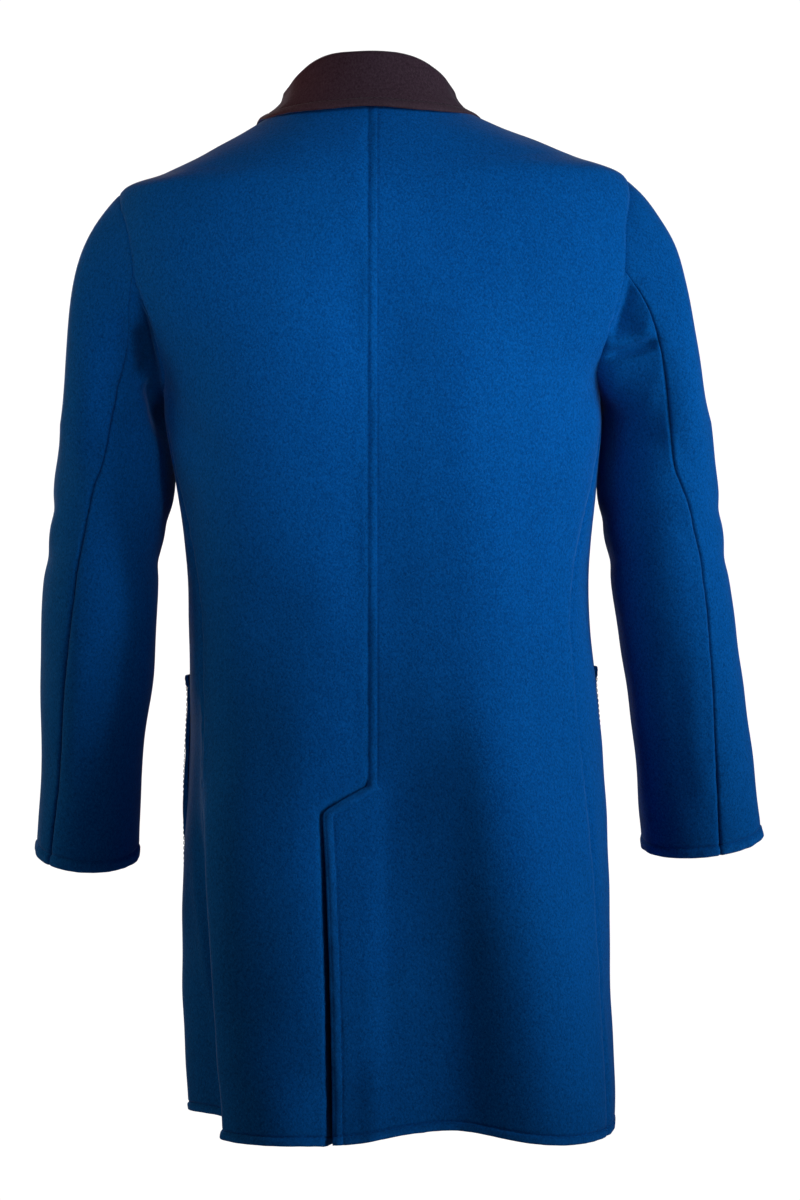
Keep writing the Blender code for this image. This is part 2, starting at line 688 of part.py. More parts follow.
def collar():
    """The turned-down collar, from its left front end round the neck to its right front end."""
    rows = [front_leaf(leaf, 1.0) for leaf in reversed(COLLAR_FRONT)]
    rows += [back_leaf(station, 1.0) for station in reversed(COLLAR)]
    rows += [back_leaf(station, -1.0) for station in COLLAR[1:]]
    rows += [front_leaf(leaf, -1.0) for leaf in COLLAR_FRONT]
    sheet_solid("collar", blended(rows, COLLAR_STEPS), PLUM)


def pockets():
    """A patch pocket on each front, its mouth standing a little open."""
    corner = 0.030
    rises = (0.0, 0.004, 0.012, corner, 0.075, 0.120, 0.160, 0.185, POCKET_TOP - POCKET_FOOT)
    columns = 9
    for side, name in ((1.0, "pocket_left"), (-1.0, "pocket_right")):
        outer, inner = [], []
        for rise in rises:
            level = POCKET_FOOT + rise - (POCKET_LEFT_DROP if side > 0 else 0.0)
            cut = corner - math.sqrt(max(0.0, corner ** 2 - max(0.0, corner - rise) ** 2))
            radius = Vector(base_point(level, side * POCKET_BACK).xy).length
            first, last = POCKET_BACK + cut / radius, POCKET_FRONT - cut / radius
            gape = POCKET_GAPE * smooth((rise - 0.10) / (POCKET_TOP - POCKET_FOOT - 0.10)) ** 2
            angles = [side * (first + (last - first) * k / columns) for k in range(columns + 1)]
            seat = POCKET_SEAT + gape
            outer.append([raised(level, a, seat + WALL) for a in angles])
            inner.append([raised(level, a, seat) for a in angles])
        solid(name, outer, inner, BLUE)


def buttons():
    """Three buttons down the left front, at its middle."""
    profile = (
        (0.0, 0.0),
        (BUTTON_RADIUS - 0.001, 0.0),
        (BUTTON_RADIUS, 0.001),
        (BUTTON_RADIUS, BUTTON_HEIGHT - 0.001),
        (BUTTON_RADIUS - 0.001, BUTTON_HEIGHT),
        (BUTTON_RADIUS - BUTTON_RIM, BUTTON_HEIGHT),
        (BUTTON_RADIUS - BUTTON_RIM - 0.001, BUTTON_HEIGHT - 0.001),
        (0.0, BUTTON_HEIGHT - 0.001),
    )
    for name, level in BUTTON_LEVELS.items():
        angle = math.pi - 1e-6
        facing = base_normal(level, angle)
        seat = raised(level, angle, FRONT_LIFT + BUTTON_SEAT)
        across = Vector((1.0, 0.0, 0.0))
        across = (across - facing * across.dot(facing)).normalized()
        up = facing.cross(across)
        mesh = bmesh.new()
        rings = []
        for radius, height in profile:
            if radius == 0.0:
                rings.append([mesh.verts.new(seat + facing * height)])
                continue
            ring = []
            for k in range(BUTTON_SIDES):
                t = 2.0 * math.pi * k / BUTTON_SIDES
                place = seat + (across * math.cos(t) + up * math.sin(t)) * radius + facing * height
                ring.append(mesh.verts.new(place))
            rings.append(ring)
        for low, high in zip(rings, rings[1:]):
            for k in range(BUTTON_SIDES):
                n = (k + 1) % BUTTON_SIDES
                corners = [low[k % len(low)], low[n % len(low)], high[n % len(high)], high[k % len(high)]]
                mesh.faces.new(list(dict.fromkeys(corners)))
        bmesh.ops.recalc_face_normals(mesh, faces=mesh.faces)
        finished("button_" + name, mesh, HORN)


def clear_scene():
    """Empties the scene before the coat is built."""
    for thing in list(bpy.data.objects):
        bpy.data.objects.remove(thing)


def main():
    """Builds every piece of the coat."""
    clear_scene()
    back_panels()
    front_panels()
    sleeves()
    collar()
    lapels()
    pockets()
    buttons()


main()
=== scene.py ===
"""Looks of a reversible overcoat, worn and empty: blue napped cloth with a plum brown reverse.

Metres, +Z up. The wearer faces -Y and the wearer's left is +X. Angles run round the body from
centre back, 0, through the wearer's left, 90 degrees, to centre front. A level is the height at
centre back.
"""

import logging
import math
from dataclasses import dataclass, field
from enum import Enum
from typing import ClassVar, NamedTuple, Optional, Sequence, Union

import bpy
import numpy as np
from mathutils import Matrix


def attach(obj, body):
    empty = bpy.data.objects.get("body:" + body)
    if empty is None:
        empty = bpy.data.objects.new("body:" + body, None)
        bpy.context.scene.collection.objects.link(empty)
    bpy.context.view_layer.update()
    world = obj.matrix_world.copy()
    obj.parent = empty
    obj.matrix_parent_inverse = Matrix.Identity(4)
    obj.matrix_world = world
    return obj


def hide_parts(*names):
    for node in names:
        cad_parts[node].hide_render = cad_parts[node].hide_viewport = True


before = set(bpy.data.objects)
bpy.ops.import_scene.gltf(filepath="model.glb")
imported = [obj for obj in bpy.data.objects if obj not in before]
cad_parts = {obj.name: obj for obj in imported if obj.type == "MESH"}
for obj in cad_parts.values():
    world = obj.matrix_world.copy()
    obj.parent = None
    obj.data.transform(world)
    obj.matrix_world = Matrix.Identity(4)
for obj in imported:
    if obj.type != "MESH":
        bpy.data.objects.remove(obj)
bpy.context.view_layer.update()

Array = np.ndarray
Value = Union["Wire", float, int, tuple]
LOG = logging.getLogger("overcoat")

WALL = 0.0026
SEAM_LAP = 0.0012
SAMPLES = 161
PANEL_STEP = 0.0045
SLEEVE_STEP = 0.0042
TURNED_STEP = 0.0022
POCKET_STEP = 0.0026


class Ring(NamedTuple):
    """Half-widths and depths of the body at a level, and how far its sides stand above centre back."""

    level: float
    left: float
    right: float
    back: float
    front: float
    square: float = 2.4
    rise_left: float = 0.0
    rise_right: float = 0.0
    drop_front: float = 0.0


class SeamPoint(NamedTuple):
    """How far behind the body's middle the side seam runs at a level."""

    level: float
    behind: float


class Fold(NamedTuple):
    """A hanging fold: depth is outwards at the hem, and hem_rise lifts the hem there."""

    angle_top: float
    angle_hem: float
    top: float
    depth: float
    width: float
    hem_rise: float


class Cuff(NamedTuple):
    """A section of a sleeve: centre, half-width, half-depth, twist, and where its two seams run."""

    x: float
    y: float
    z: float
    wide: float
    deep: float
    twist: float
    hind: float
    fore: float


class Station(NamedTuple):
    """A row of the collar: neck seam, fold, outer edge, and the edge's extra fall on each side."""

    seam: tuple
    fold: tuple
    edge: tuple
    left_fall: float
    right_fall: float


class Leaf(NamedTuple):
    """A row of cloth turned back over the front: level of the turn, reach of the edge, its fall."""

    level: float
    outer: float
    fall: float


BODY = (
    Ring(-0.934, 0.17, 0.225, 0.142, 0.152),
    Ring(-0.86, 0.1755, 0.224, 0.14, 0.151),
    Ring(-0.76, 0.1785, 0.223, 0.136, 0.148),
    Ring(-0.637, 0.1755, 0.218, 0.127, 0.145),
    Ring(-0.544, 0.17, 0.211, 0.117, 0.141),
    Ring(-0.46, 0.167, 0.203, 0.111, 0.139),
    Ring(-0.395, 0.173, 0.205, 0.113, 0.14),
    Ring(-0.34, 0.182, 0.212, 0.118, 0.141),
    Ring(-0.285, 0.19, 0.216, 0.123, 0.141),
    Ring(-0.246, 0.1945, 0.2165, 0.1255, 0.139),
    Ring(-0.212, 0.214, 0.238, 0.1255, 0.136),
    Ring(-0.163, 0.242, 0.262, 0.122, 0.127, 2.4, 0.0, 0.001, 0.001),
    Ring(-0.12, 0.24, 0.255, 0.116, 0.113, 2.4, 0.002, 0.008, 0.003),
    Ring(-0.08, 0.23, 0.2365, 0.106, 0.092, 2.4, 0.0065, 0.02, 0.005),
    Ring(-0.058, 0.192, 0.194, 0.0975, 0.08, 2.3, 0.001, 0.016, 0.008),
    Ring(-0.035, 0.151, 0.152, 0.0865, 0.066, 2.2, -0.0035, 0.0105, 0.01),
    Ring(-0.012, 0.112, 0.112, 0.074, 0.05, 2.1, -0.0045, 0.0035, 0.012),
    Ring(0.006, 0.078, 0.078, 0.067, 0.03, 2.1, 0.0, 0.0, 0.012),
)
SIDE_SEAM = (
    SeamPoint(-0.934, 0.074),
    SeamPoint(-0.64, 0.068),
    SeamPoint(-0.45, 0.058),
    SeamPoint(-0.33, 0.04),
    SeamPoint(-0.246, 0.018),
)
FOLDS = (
    Fold(76.0, 73.0, -0.43, -0.042, 11.0, 0.0),
    Fold(-33.0, -36.0, -0.48, -0.014, 10.0, 0.008),
    Fold(-14.0, -17.0, -0.66, -0.004, 13.0, 0.008),
    Fold(-58.0, -61.0, -0.54, 0.01, 11.0, -0.002),
    Fold(30.0, 36.0, -0.58, 0.006, 12.0, 0.001),
    Fold(85.0, 84.0, -0.7, 0.0, 15.0, 0.009),
    Fold(-100.0, -104.0, -0.56, -0.007, 10.0, 0.002),
    Fold(128.0, 126.0, -0.7, 0.007, 11.0, 0.0),
    Fold(-140.0, -138.0, -0.66, -0.008, 12.0, 0.003),
)
SLEEVE_LEFT = (
    Cuff(0.2378, -0.01, -0.285, 0.0458, 0.072, 20.0, 123.0, -110.0),
    Cuff(0.238, -0.016, -0.339, 0.0544, 0.069, 18.0, 102.0, -112.0),
    Cuff(0.247, -0.012, -0.395, 0.0515, 0.066, 12.0, 91.0, -114.0),
    Cuff(0.252, -0.008, -0.451, 0.0527, 0.063, 5.0, 76.0, -119.0),
    Cuff(0.255, -0.014, -0.525, 0.0515, 0.06, 0.0, 61.0, -122.0),
    Cuff(0.26, -0.026, -0.6, 0.0485, 0.058, 0.0, 57.0, -122.0),
    Cuff(0.268, -0.046, -0.692, 0.048, 0.057, 0.0, 50.0, -122.0),
)
SLEEVE_RIGHT = (
    Cuff(0.2653, -0.01, -0.285, 0.0448, 0.072, 20.0, 111.0, -110.0),
    Cuff(0.2664, -0.016, -0.339, 0.0528, 0.069, 18.0, 97.0, -112.0),
    Cuff(0.275, -0.012, -0.395, 0.053, 0.066, 12.0, 80.0, -114.0),
    Cuff(0.283, -0.008, -0.451, 0.0547, 0.063, 5.0, 69.0, -119.0),
    Cuff(0.2935, -0.012, -0.525, 0.054, 0.059, 0.0, 67.0, -122.0),
    Cuff(0.304, -0.022, -0.6, 0.0545, 0.054, 0.0, 74.0, -122.0),
    Cuff(0.313, -0.04, -0.679, 0.057, 0.05, 0.0, 78.0, -122.0),
)
COLLAR_BACK = (
    Station((0.0, 0.0655, 0.0058), (0.0, 0.071, 0.045), (0.0, 0.083, -0.006), 0.0, 0.0),
    Station((0.036, 0.057, 0.0058), (0.036, 0.062, 0.043), (0.042, 0.0765, -0.008), 0.0, 0.0),
    Station((0.06, 0.039, 0.0058), (0.06, 0.044, 0.033), (0.074, 0.0585, -0.0065), 0.0015, 0.001),
    Station((0.0745, 0.012, 0.006), (0.0745, 0.012, 0.022), (0.0925, 0.034, -0.001), 0.0075, 0.004),
    Station((0.076, -0.014, 0.0045), (0.077, -0.017, 0.015), (0.1045, -0.005, -0.0025), 0.004, 0.003),
)
COLLAR_FRONT = (
    Leaf(-0.012, 0.11, -0.012),
    Leaf(-0.035, 0.111, -0.016),
    Leaf(-0.06, 0.109, -0.016),
    Leaf(-0.0865, 0.102, -0.012),
)
LAPEL = (
    Leaf(-0.36, 0.002, 0.0),
    Leaf(-0.312, 0.036, 0.0),
    Leaf(-0.26, 0.066, -0.003),
    Leaf(-0.2, 0.095, -0.008),
    Leaf(-0.15, 0.114, -0.014),
    Leaf(-0.089, 0.129, -0.022),
)


class Side(Enum):
    """The way a face of the coat looks out."""

    BACK = (0.0, 1.0, 0.0)
    FRONT = (0.0, -1.0, 0.0)
    LEFT = (1.0, 0.0, 0.0)
    RIGHT = (-1.0, 0.0, 0.0)


class Crease(NamedTuple):
    """A soft trough, or ridge where depth is above 0, seen from one side of the coat.

    Its ends are given across and up as seen from that side's axis: X for back and front, Y for
    the sides, and Z. bow moves its middle off the straight line.
    """

    side: Side
    across: float
    up: float
    to_across: float
    to_up: float
    bow: float
    depth: float
    width: float


def on(side: Side, *rows: tuple) -> tuple:
    """Creases seen from one side, each row with the columns that follow the side."""
    return tuple(Crease(side, *row) for row in rows)


BODY_CREASES = (
    on(
        Side.BACK,
        (0.0, -0.13, 0.0, -0.6, 0.0, -0.005, 0.042),
        (0.105, -0.18, 0.156, -0.98, 0.004, 0.005, 0.036),
        (-0.082, -0.18, -0.112, -0.66, -0.004, 0.005, 0.036),
        (0.205, -0.225, 0.12, -0.33, 0.012, -0.0028, 0.012),
        (0.2, -0.255, 0.14, -0.365, 0.01, 0.002, 0.012),
        (-0.222, -0.22, -0.15, -0.33, -0.012, -0.0026, 0.013),
        (-0.215, -0.255, -0.16, -0.36, -0.01, 0.0018, 0.012),
        (0.15, -0.43, 0.06, -0.47, 0.006, -0.0016, 0.02),
        (-0.17, -0.425, -0.07, -0.48, -0.006, -0.0016, 0.022),
        (0.135, -0.6, 0.15, -1.0, 0.0, 0.006, 0.045),
        (0.034, -0.6, 0.024, -1.0, 0.0, -0.005, 0.03),
        (-0.012, -0.57, -0.04, -1.0, 0.0, -0.014, 0.052),
        (-0.105, -0.55, -0.168, -1.0, 0.0, 0.015, 0.05),
        (0.006, -0.85, 0.002, -0.935, 0.003, -0.002, 0.013),
        (0.034, -0.865, 0.036, -0.985, 0.0, -0.0065, 0.03),
    )
    + on(
        Side.FRONT,
        (0.16, -0.24, 0.08, -0.34, 0.012, -0.0022, 0.016),
        (-0.17, -0.24, -0.09, -0.34, -0.012, -0.0022, 0.016),
        (0.13, -0.4, 0.03, -0.39, 0.01, -0.0018, 0.014),
        (-0.13, -0.41, -0.03, -0.395, 0.01, -0.0018, 0.014),
        (0.09, -0.72, 0.11, -0.93, 0.006, -0.0034, 0.022),
        (-0.07, -0.68, -0.085, -0.93, 0.006, -0.0034, 0.024),
    )
    + on(
        Side.LEFT,
        (0.01, -0.3, -0.02, -0.48, 0.008, -0.0022, 0.018),
    )
    + on(
        Side.RIGHT,
        (0.01, -0.3, -0.02, -0.48, 0.008, -0.0022, 0.018),
        (-0.04, -0.56, -0.05, -0.9, 0.008, -0.003, 0.022),
    )
)
ARM_SIDES = (
    (-0.06, -0.39, 0.03, -0.365, 0.006, -0.0022, 0.012),
    (-0.066, -0.43, 0.034, -0.41, 0.006, -0.0018, 0.012),
    (-0.05, -0.5, -0.04, -0.64, 0.006, -0.002, 0.014),
)
SLEEVE_CREASES = (
    on(
        Side.BACK,
        (0.203, -0.168, 0.189, -0.3, 0.002, -0.012, 0.0085),
        (0.2115, -0.2, 0.205, -0.25, 0.001, -0.011, 0.007),
        (0.22, -0.2, 0.204, -0.252, 0.003, 0.004, 0.006),
        (0.215, -0.236, 0.196, -0.268, 0.003, -0.004, 0.007),
        (0.2235, -0.194, 0.2245, -0.228, 0.001, -0.0044, 0.005),
        (0.216, -0.256, 0.25, -0.268, 0.004, -0.0034, 0.008),
        (0.206, -0.3, 0.262, -0.322, -0.006, -0.0026, 0.01),
        (0.21, -0.35, 0.285, -0.372, -0.006, -0.0022, 0.012),
        (0.22, -0.42, 0.29, -0.395, 0.005, -0.002, 0.012),
        (0.235, -0.47, 0.262, -0.64, 0.006, -0.002, 0.014),
        (-0.224, -0.164, -0.2215, -0.21, 0.001, -0.007, 0.0085),
        (-0.225, -0.213, -0.256, -0.204, 0.002, 0.0034, 0.005),
        (-0.214, -0.229, -0.264, -0.214, 0.003, -0.0085, 0.0042),
        (-0.23, -0.156, -0.236, -0.22, 0.002, -0.008, 0.014),
        (-0.212, -0.258, -0.266, -0.268, 0.002, 0.0045, 0.019),
        (-0.235, -0.3, -0.3, -0.33, -0.006, -0.0022, 0.011),
        (-0.24, -0.38, -0.315, -0.395, -0.006, -0.0022, 0.013),
        (-0.255, -0.45, -0.32, -0.425, 0.005, -0.0018, 0.013),
        (-0.275, -0.49, -0.3, -0.66, 0.006, -0.0022, 0.015),
    )
    + on(Side.LEFT, *ARM_SIDES)
    + on(Side.RIGHT, *ARM_SIDES)
    + on(
        Side.FRONT,
        (0.205, -0.23, 0.25, -0.27, 0.006, -0.003, 0.01),
        (-0.225, -0.23, -0.275, -0.27, -0.006, -0.003, 0.01),
        (0.215, -0.4, 0.285, -0.38, 0.006, -0.003, 0.012),
        (0.215, -0.43, 0.285, -0.42, 0.006, 0.002, 0.011),
        (-0.245, -0.4, -0.315, -0.38, 0.006, -0.003, 0.012),
        (-0.245, -0.43, -0.315, -0.42, 0.006, 0.002, 0.011),
    )
)


def smooth(share: Array) -> Array:
    """0 below 0, 1 above 1, and an even curve between."""
    share = np.clip(share, 0.0, 1.0)
    return share * share * (3.0 - 2.0 * share)


def hump(distance: Array, width: float) -> Array:
    """1 at no distance, falling off over a width."""
    return np.exp(-((distance / width) ** 2))


def unit(vectors: Array) -> Array:
    """Vectors of length 1."""
    return vectors / np.maximum(np.linalg.norm(vectors, axis=-1, keepdims=True), 1e-12)


def hermite(a: Array, b: Array, leave: Array, arrive: Array, t: Array) -> Array:
    """A curve from a to b that leaves and arrives with given tangents.

    Args:
        a: start.
        b: end.
        leave: tangent at the start.
        arrive: tangent at the end.
        t: share of the way, from 0 to 1.

    Returns:
        The places on the curve.
    """
    low, high = (1 - t) ** 2, t * t
    return a * (1 + 2 * t) * low + leave * t * low + b * high * (3 - 2 * t) + arrive * high * (t - 1)


def along(table: Sequence, name: str, at: Array, key: Optional[str] = None) -> Array:
    """A column of a table at any value of its key, on a smooth curve through its rows.

    Args:
        table: rows in order of their key.
        name: the column.
        at: values of the key.
        key: the key's column, or None for the row's number.

    Returns:
        The column's values there.
    """
    keys = np.array([getattr(row, key) if key else i for i, row in enumerate(table)], float)
    values = np.array([getattr(row, name) for row in table], float)
    number = np.arange(len(keys))
    low, high = np.maximum(number - 1, 0), np.minimum(number + 1, len(keys) - 1)
    slopes = (values[high] - values[low]) / (keys[high] - keys[low])
    at = np.clip(np.asarray(at, float), keys[0], keys[-1])
    i = np.clip(np.searchsorted(keys, at, side="right") - 1, 0, len(keys) - 2)
    span = keys[i + 1] - keys[i]
    t = (at - keys[i]) / span
    return hermite(values[i], values[i + 1], slopes[i] * span, slopes[i + 1] * span, t)


def reach_along(points: Array, axis: int) -> Array:
    """Distance travelled along a line, or along each row or column of a grid.

    Args:
        points: places, with X, Y and Z on the last axis.
        axis: the axis that is travelled.

    Returns:
        The distance from the start at each place.
    """
    steps = np.linalg.norm(np.diff(points, axis=axis), axis=-1)
    start = np.zeros_like(np.take(steps, [0], axis=axis))
    return np.concatenate((start, np.cumsum(steps, axis=axis)), axis=axis)


@dataclass(frozen=True)
class BodyForm:
    """The body's outer face, and where its seams and edges run on it."""

    hem: float = -0.934
    hem_reach: float = 0.25
    armpit: float = -0.246
    shoulder_tip: float = -0.080
    neck: float = 0.006
    shoulder_seam: float = math.radians(89.3)
    armhole_top_y: float = 0.003
    armhole_foot_y: float = 0.018
    armhole_back: float = 0.060
    armhole_front: float = 0.093
    lap: float = 0.022
    lap_top: float = -0.20
    lap_ease: float = 0.10
    lift: float = 0.0018
    sink: float = 0.0020
    ease: float = 0.020
    break_level: float = -0.370
    gorge: float = -0.085
    gorge_x: float = 0.064
    neck_edge_x: float = 0.0765
    step_angle: float = 0.004
    step_level: float = 0.0008

    def at(self, name: str, level: Array) -> Array:
        """A column of the body's rings at a level."""
        return along(BODY, name, level, "level")

    def folds(self, level: Array, angle: Array, name: str) -> Array:
        """What the hanging folds add at a place.

        Args:
            level: levels.
            angle: angles.
            name: the folds' column, depth or hem_rise.

        Returns:
            The sum over all folds.
        """
        total = np.zeros(np.broadcast(level, angle).shape)
        for fold in FOLDS:
            share = (fold.top - level) / (fold.top - self.hem)
            middle = fold.angle_top + (fold.angle_hem - fold.angle_top) * share
            turn = (np.degrees(angle) - middle + 180.0) % 360.0 - 180.0
            across = np.exp(-0.5 * (turn / fold.width) ** 2)
            total = total + getattr(fold, name) * smooth(share) * across
        return total

    def point(self, level: Array, angle: Array) -> Array:
        """Places on the outer face.

        Args:
            level: levels.
            angle: angles.

        Returns:
            A place for each level and angle.
        """
        level, angle = np.broadcast_arrays(np.asarray(level, float), np.asarray(angle, float))
        s, c = np.sin(angle), np.cos(angle)
        wide = np.where(s >= 0, self.at("left", level), self.at("right", level))
        deep = np.where(c >= 0, self.at("back", level), self.at("front", level))
        power = self.at("square", level)
        radius = (np.abs(s / wide) ** power + np.abs(c / deep) ** power) ** (-1.0 / power)
        radius = radius + self.folds(level, angle, "depth")
        rise = np.where(s >= 0, self.at("rise_left", level), self.at("rise_right", level)) * s * s
        drop = np.where(c < 0, self.at("drop_front", level) * c * c, 0.0)
        low = smooth((self.hem + self.hem_reach - level) / self.hem_reach)
        lift = self.folds(level, angle, "hem_rise") * low
        return np.stack((radius * s, radius * c, level + rise - drop + lift), axis=-1)

    def normal(self, level: Array, angle: Array) -> Array:
        """Outward directions of the face.

        Args:
            level: levels.
            angle: angles.

        Returns:
            A direction for each level and angle.
        """
        turn, rise = self.step_angle, self.step_level
        round_it = self.point(level, angle + turn) - self.point(level, angle - turn)
        up = self.point(level + rise, angle) - self.point(level - rise, angle)
        return unit(np.cross(up, round_it))

    def raised(self, level: Array, angle: Array, out: Array) -> Array:
        """Points of the face moved out of it."""
        out = np.asarray(out, float)[..., None]
        return self.point(level, angle) + self.normal(level, angle) * out

    def angle_at_x(self, level: Array, x: Array, front: bool) -> Array:
        """Where a ring crosses a distance to the wearer's left.

        Args:
            level: levels of the rings.
            x: the distance.
            front: True on the front, False on the back.

        Returns:
            The angle on each ring.
        """
        wide = np.where(np.asarray(x) >= 0, self.at("left", level), self.at("right", level))
        deep = self.at("front" if front else "back", level)
        power = self.at("square", level)
        y = deep * np.maximum(0.0, 1.0 - np.abs(x / wide) ** power) ** (1.0 / power)
        return np.arctan2(x, -y if front else y)

    def angle_at_y(self, level: Array, y: Array, side: float) -> Array:
        """Where a ring crosses a distance behind the body's middle.

        Args:
            level: levels of the rings.
            y: the distance.
            side: 1 on the wearer's left, -1 on the right.

        Returns:
            The angle on each ring.
        """
        wide = self.at("left" if side > 0 else "right", level)
        deep = np.where(np.asarray(y) >= 0, self.at("back", level), self.at("front", level))
        power = self.at("square", level)
        x = wide * np.maximum(0.0, 1.0 - np.abs(y / deep) ** power) ** (1.0 / power)
        return np.arctan2(side * x, y)

    def armhole_level(self, turn: Array) -> Array:
        """The level of a point of the armhole, where turn 0 is its top and 180 its foot."""
        high = (1.0 + np.cos(np.radians(turn))) / 2.0
        return self.armpit + (self.shoulder_tip - self.armpit) * high

    def armhole_angle(self, turn: Array, side: float) -> Array:
        """The angle of a point of the armhole.

        Args:
            turn: degrees from the armhole's top, backwards.
            side: 1 on the wearer's left, -1 on the right.

        Returns:
            The angle at each turn.
        """
        t = np.radians(turn)
        deep = np.where(np.sin(t) >= 0, self.armhole_back, self.armhole_front)
        fall = (self.armhole_foot_y - self.armhole_top_y) * (1 - np.cos(t)) / 2
        y = self.armhole_top_y + fall + deep * np.sin(t)
        return self.angle_at_y(self.armhole_level(turn), y, side)

    def side_edge(self, level: Array, side: float, back: bool) -> Array:
        """Where a panel ends at its side: side seam, armhole or shoulder seam.

        Args:
            level: levels.
            side: 1 on the wearer's left, -1 on the right.
            back: True for the back, False for a front.

        Returns:
            The angle at each level.
        """
        share = np.clip((level - self.armpit) / (self.shoulder_tip - self.armpit), 0.0, 1.0)
        turn = np.degrees(np.arccos(np.clip(2.0 * share - 1.0, -1.0, 1.0)))
        hole = self.armhole_angle(turn if back else -turn, side)
        seam = self.angle_at_y(level, along(SIDE_SEAM, "behind", level, "level"), side)
        below = np.where(level > self.armpit, hole, seam)
        return np.where(level >= self.shoulder_tip, side * self.shoulder_seam, below)

    def front_edge(self, level: Array) -> Array:
        """Where a front's free edge lies: its lap, then the roll line, then the neck.

        Args:
            level: levels.

        Returns:
            The edge's distance from centre front, towards its own side.
        """
        rolled = (level - self.break_level) / (self.gorge - self.break_level)
        necked = (level - self.gorge) / (self.neck - self.gorge)
        roll = -self.lap + (self.gorge_x + self.lap) * rolled
        top = self.gorge_x + (self.neck_edge_x - self.gorge_x) * necked
        return np.where(level <= self.break_level, -self.lap, np.where(level <= self.gorge, roll, top))

    def front_raise(self, level: Array, x: Array) -> Array:
        """How far the upper front stands out over the lower one, x from its free edge."""
        near = smooth((2 * self.lap + self.ease - x) / self.ease)
        return near * smooth((self.lap_top - level) / self.lap_ease)


@dataclass(frozen=True)
class VentForm:
    """The back vent: the right back laps over the left, its top sewn down on a slant."""

    top: float = -0.6145
    corner: float = -0.6385
    hem: float = -0.934
    lap_top: float = 0.041
    lap_hem: float = 0.0312
    underlap: float = 0.004
    soft: float = 0.0018
    lift: float = 0.0020
    lift_width: float = 0.02
    lift_above: float = 0.004
    lift_height: float = 0.012
    turn_up: float = 0.0015
    turn_from: float = 0.055
    turn_width: float = 0.088
    turn_height: float = 0.16
    sink_top: float = 0.0022
    sink_hem: float = 0.0160
    slope: float = 0.0072
    loose_from: float = 0.01
    loose_height: float = 0.02
    # Painted shadow on the left back beside and under the lap.
    shade_depth: float = 0.012
    shade_height: float = 0.03
    shade_share: float = 0.8
    dip_depth: float = 0.0014
    dip_width: float = 0.030
    dip_height: float = 0.06
    slant_start: float = 0.004
    slant_end: float = 0.006

    def edge(self, level: Array) -> Array:
        """Where the lap's long edge hangs at a level, bowed a little towards centre back."""
        share = np.clip((self.corner - level) / (self.corner - self.hem), -0.1, 1.0)
        return self.lap_top + (self.lap_hem - self.lap_top) * share * (2.0 - share)

    def lap(self, level: Array) -> Array:
        """How far past centre back the right back reaches, its corner rounded.

        Args:
            level: levels.

        Returns:
            The distance at each level.
        """
        slant = self.lap_top * (self.top - level) / (self.top - self.corner)
        plain = self.edge(level)
        rounded = self.soft * np.exp(-np.abs(slant - plain) / (2.0 * self.soft))
        return np.maximum(np.minimum(slant, plain) - rounded, 0.0)

    def sunk(self, level: Array, x: Array) -> Array:
        """How deep the left back lies under the vent's lap.

        Args:
            level: levels.
            x: distances to the wearer's left of centre back.

        Returns:
            The depth at each place.
        """
        size = math.hypot(self.lap_top, self.corner - self.top)
        across, down = self.lap_top / size, (self.corner - self.top) / size
        over = x * -down + (level - self.top) * across
        beside = x - self.edge(np.minimum(level, self.corner))
        clear = np.maximum(0.0, np.maximum(over, np.where(level < self.corner, beside, over)))
        share = np.clip((self.top - level) / (self.top - self.hem), 0.0, 1.0)
        deep = self.sink_top + (self.sink_hem - self.sink_top) * share
        return deep * (1.0 - smooth(clear / self.slope))

    def painted_shadow(self, level: Array, x: Array) -> Array:
        """How much painted shade darkens the left back under the lap, where the lap's shadow falls."""
        below = smooth((self.corner - level) / self.shade_height)
        return self.shade_share * smooth(self.sunk(level, x) / self.shade_depth) * below

    def loose(self, level: Array) -> Array:
        """1 below the vent's top, where the lap's edge hangs loose, and 0 above it."""
        return smooth((self.top + self.loose_from - level) / self.loose_height)

    def dip(self, level: Array, x: Array) -> Array:
        """How far the left back's hem hangs down beside the vent, so that no light shows there."""
        low = smooth((self.hem + self.dip_height - level) / self.dip_height)
        return self.dip_depth * (1.0 - smooth((x - self.lap_hem) / self.dip_width)) * low

    def risen(self, level: Array, x: Array) -> Array:
        """How far the right back stands up where it laps over the left.

        Args:
            level: levels.
            x: distances to the wearer's left of centre back.

        Returns:
            The height at each place.
        """
        below = smooth((self.top + self.lift_above - level) / self.lift_height)
        near = self.lift * smooth((x + self.lift_width) / self.lift_width) * below
        loose = smooth((self.corner - level) / self.turn_height)
        return near + self.turn_up * smooth((x + self.turn_from) / self.turn_width) * loose

    def slanted(self, level: Array) -> Array:
        """1 along the slanted edge and 0 elsewhere."""
        ending = smooth((level - self.corner + self.slant_start) / self.slant_end)
        return smooth((self.top - level) / self.slant_start) * ending


@dataclass(frozen=True)
class Waves:
    """Soft uneven rise and fall of cloth, as waves that run in many directions."""

    size: float
    depth: float
    seed: int
    count: int = 12
    shortest: float = 0.7
    longest: float = 1.6

    def at(self, points: Array) -> Array:
        """The rise and fall at places.

        Args:
            points: the places.

        Returns:
            The height at each place.
        """
        chance = np.random.default_rng(self.seed)
        ways = unit(chance.normal(size=(self.count, 3)))
        lengths = self.size * chance.uniform(self.shortest, self.longest, self.count)
        starts = chance.uniform(0.0, 2.0 * math.pi, self.count)
        total = np.zeros(points.shape[:-1])
        for way, length, start in zip(ways, lengths, starts):
            total += np.sin(points @ way * (2.0 * math.pi / length) + start)
        return self.depth * total / math.sqrt(self.count)


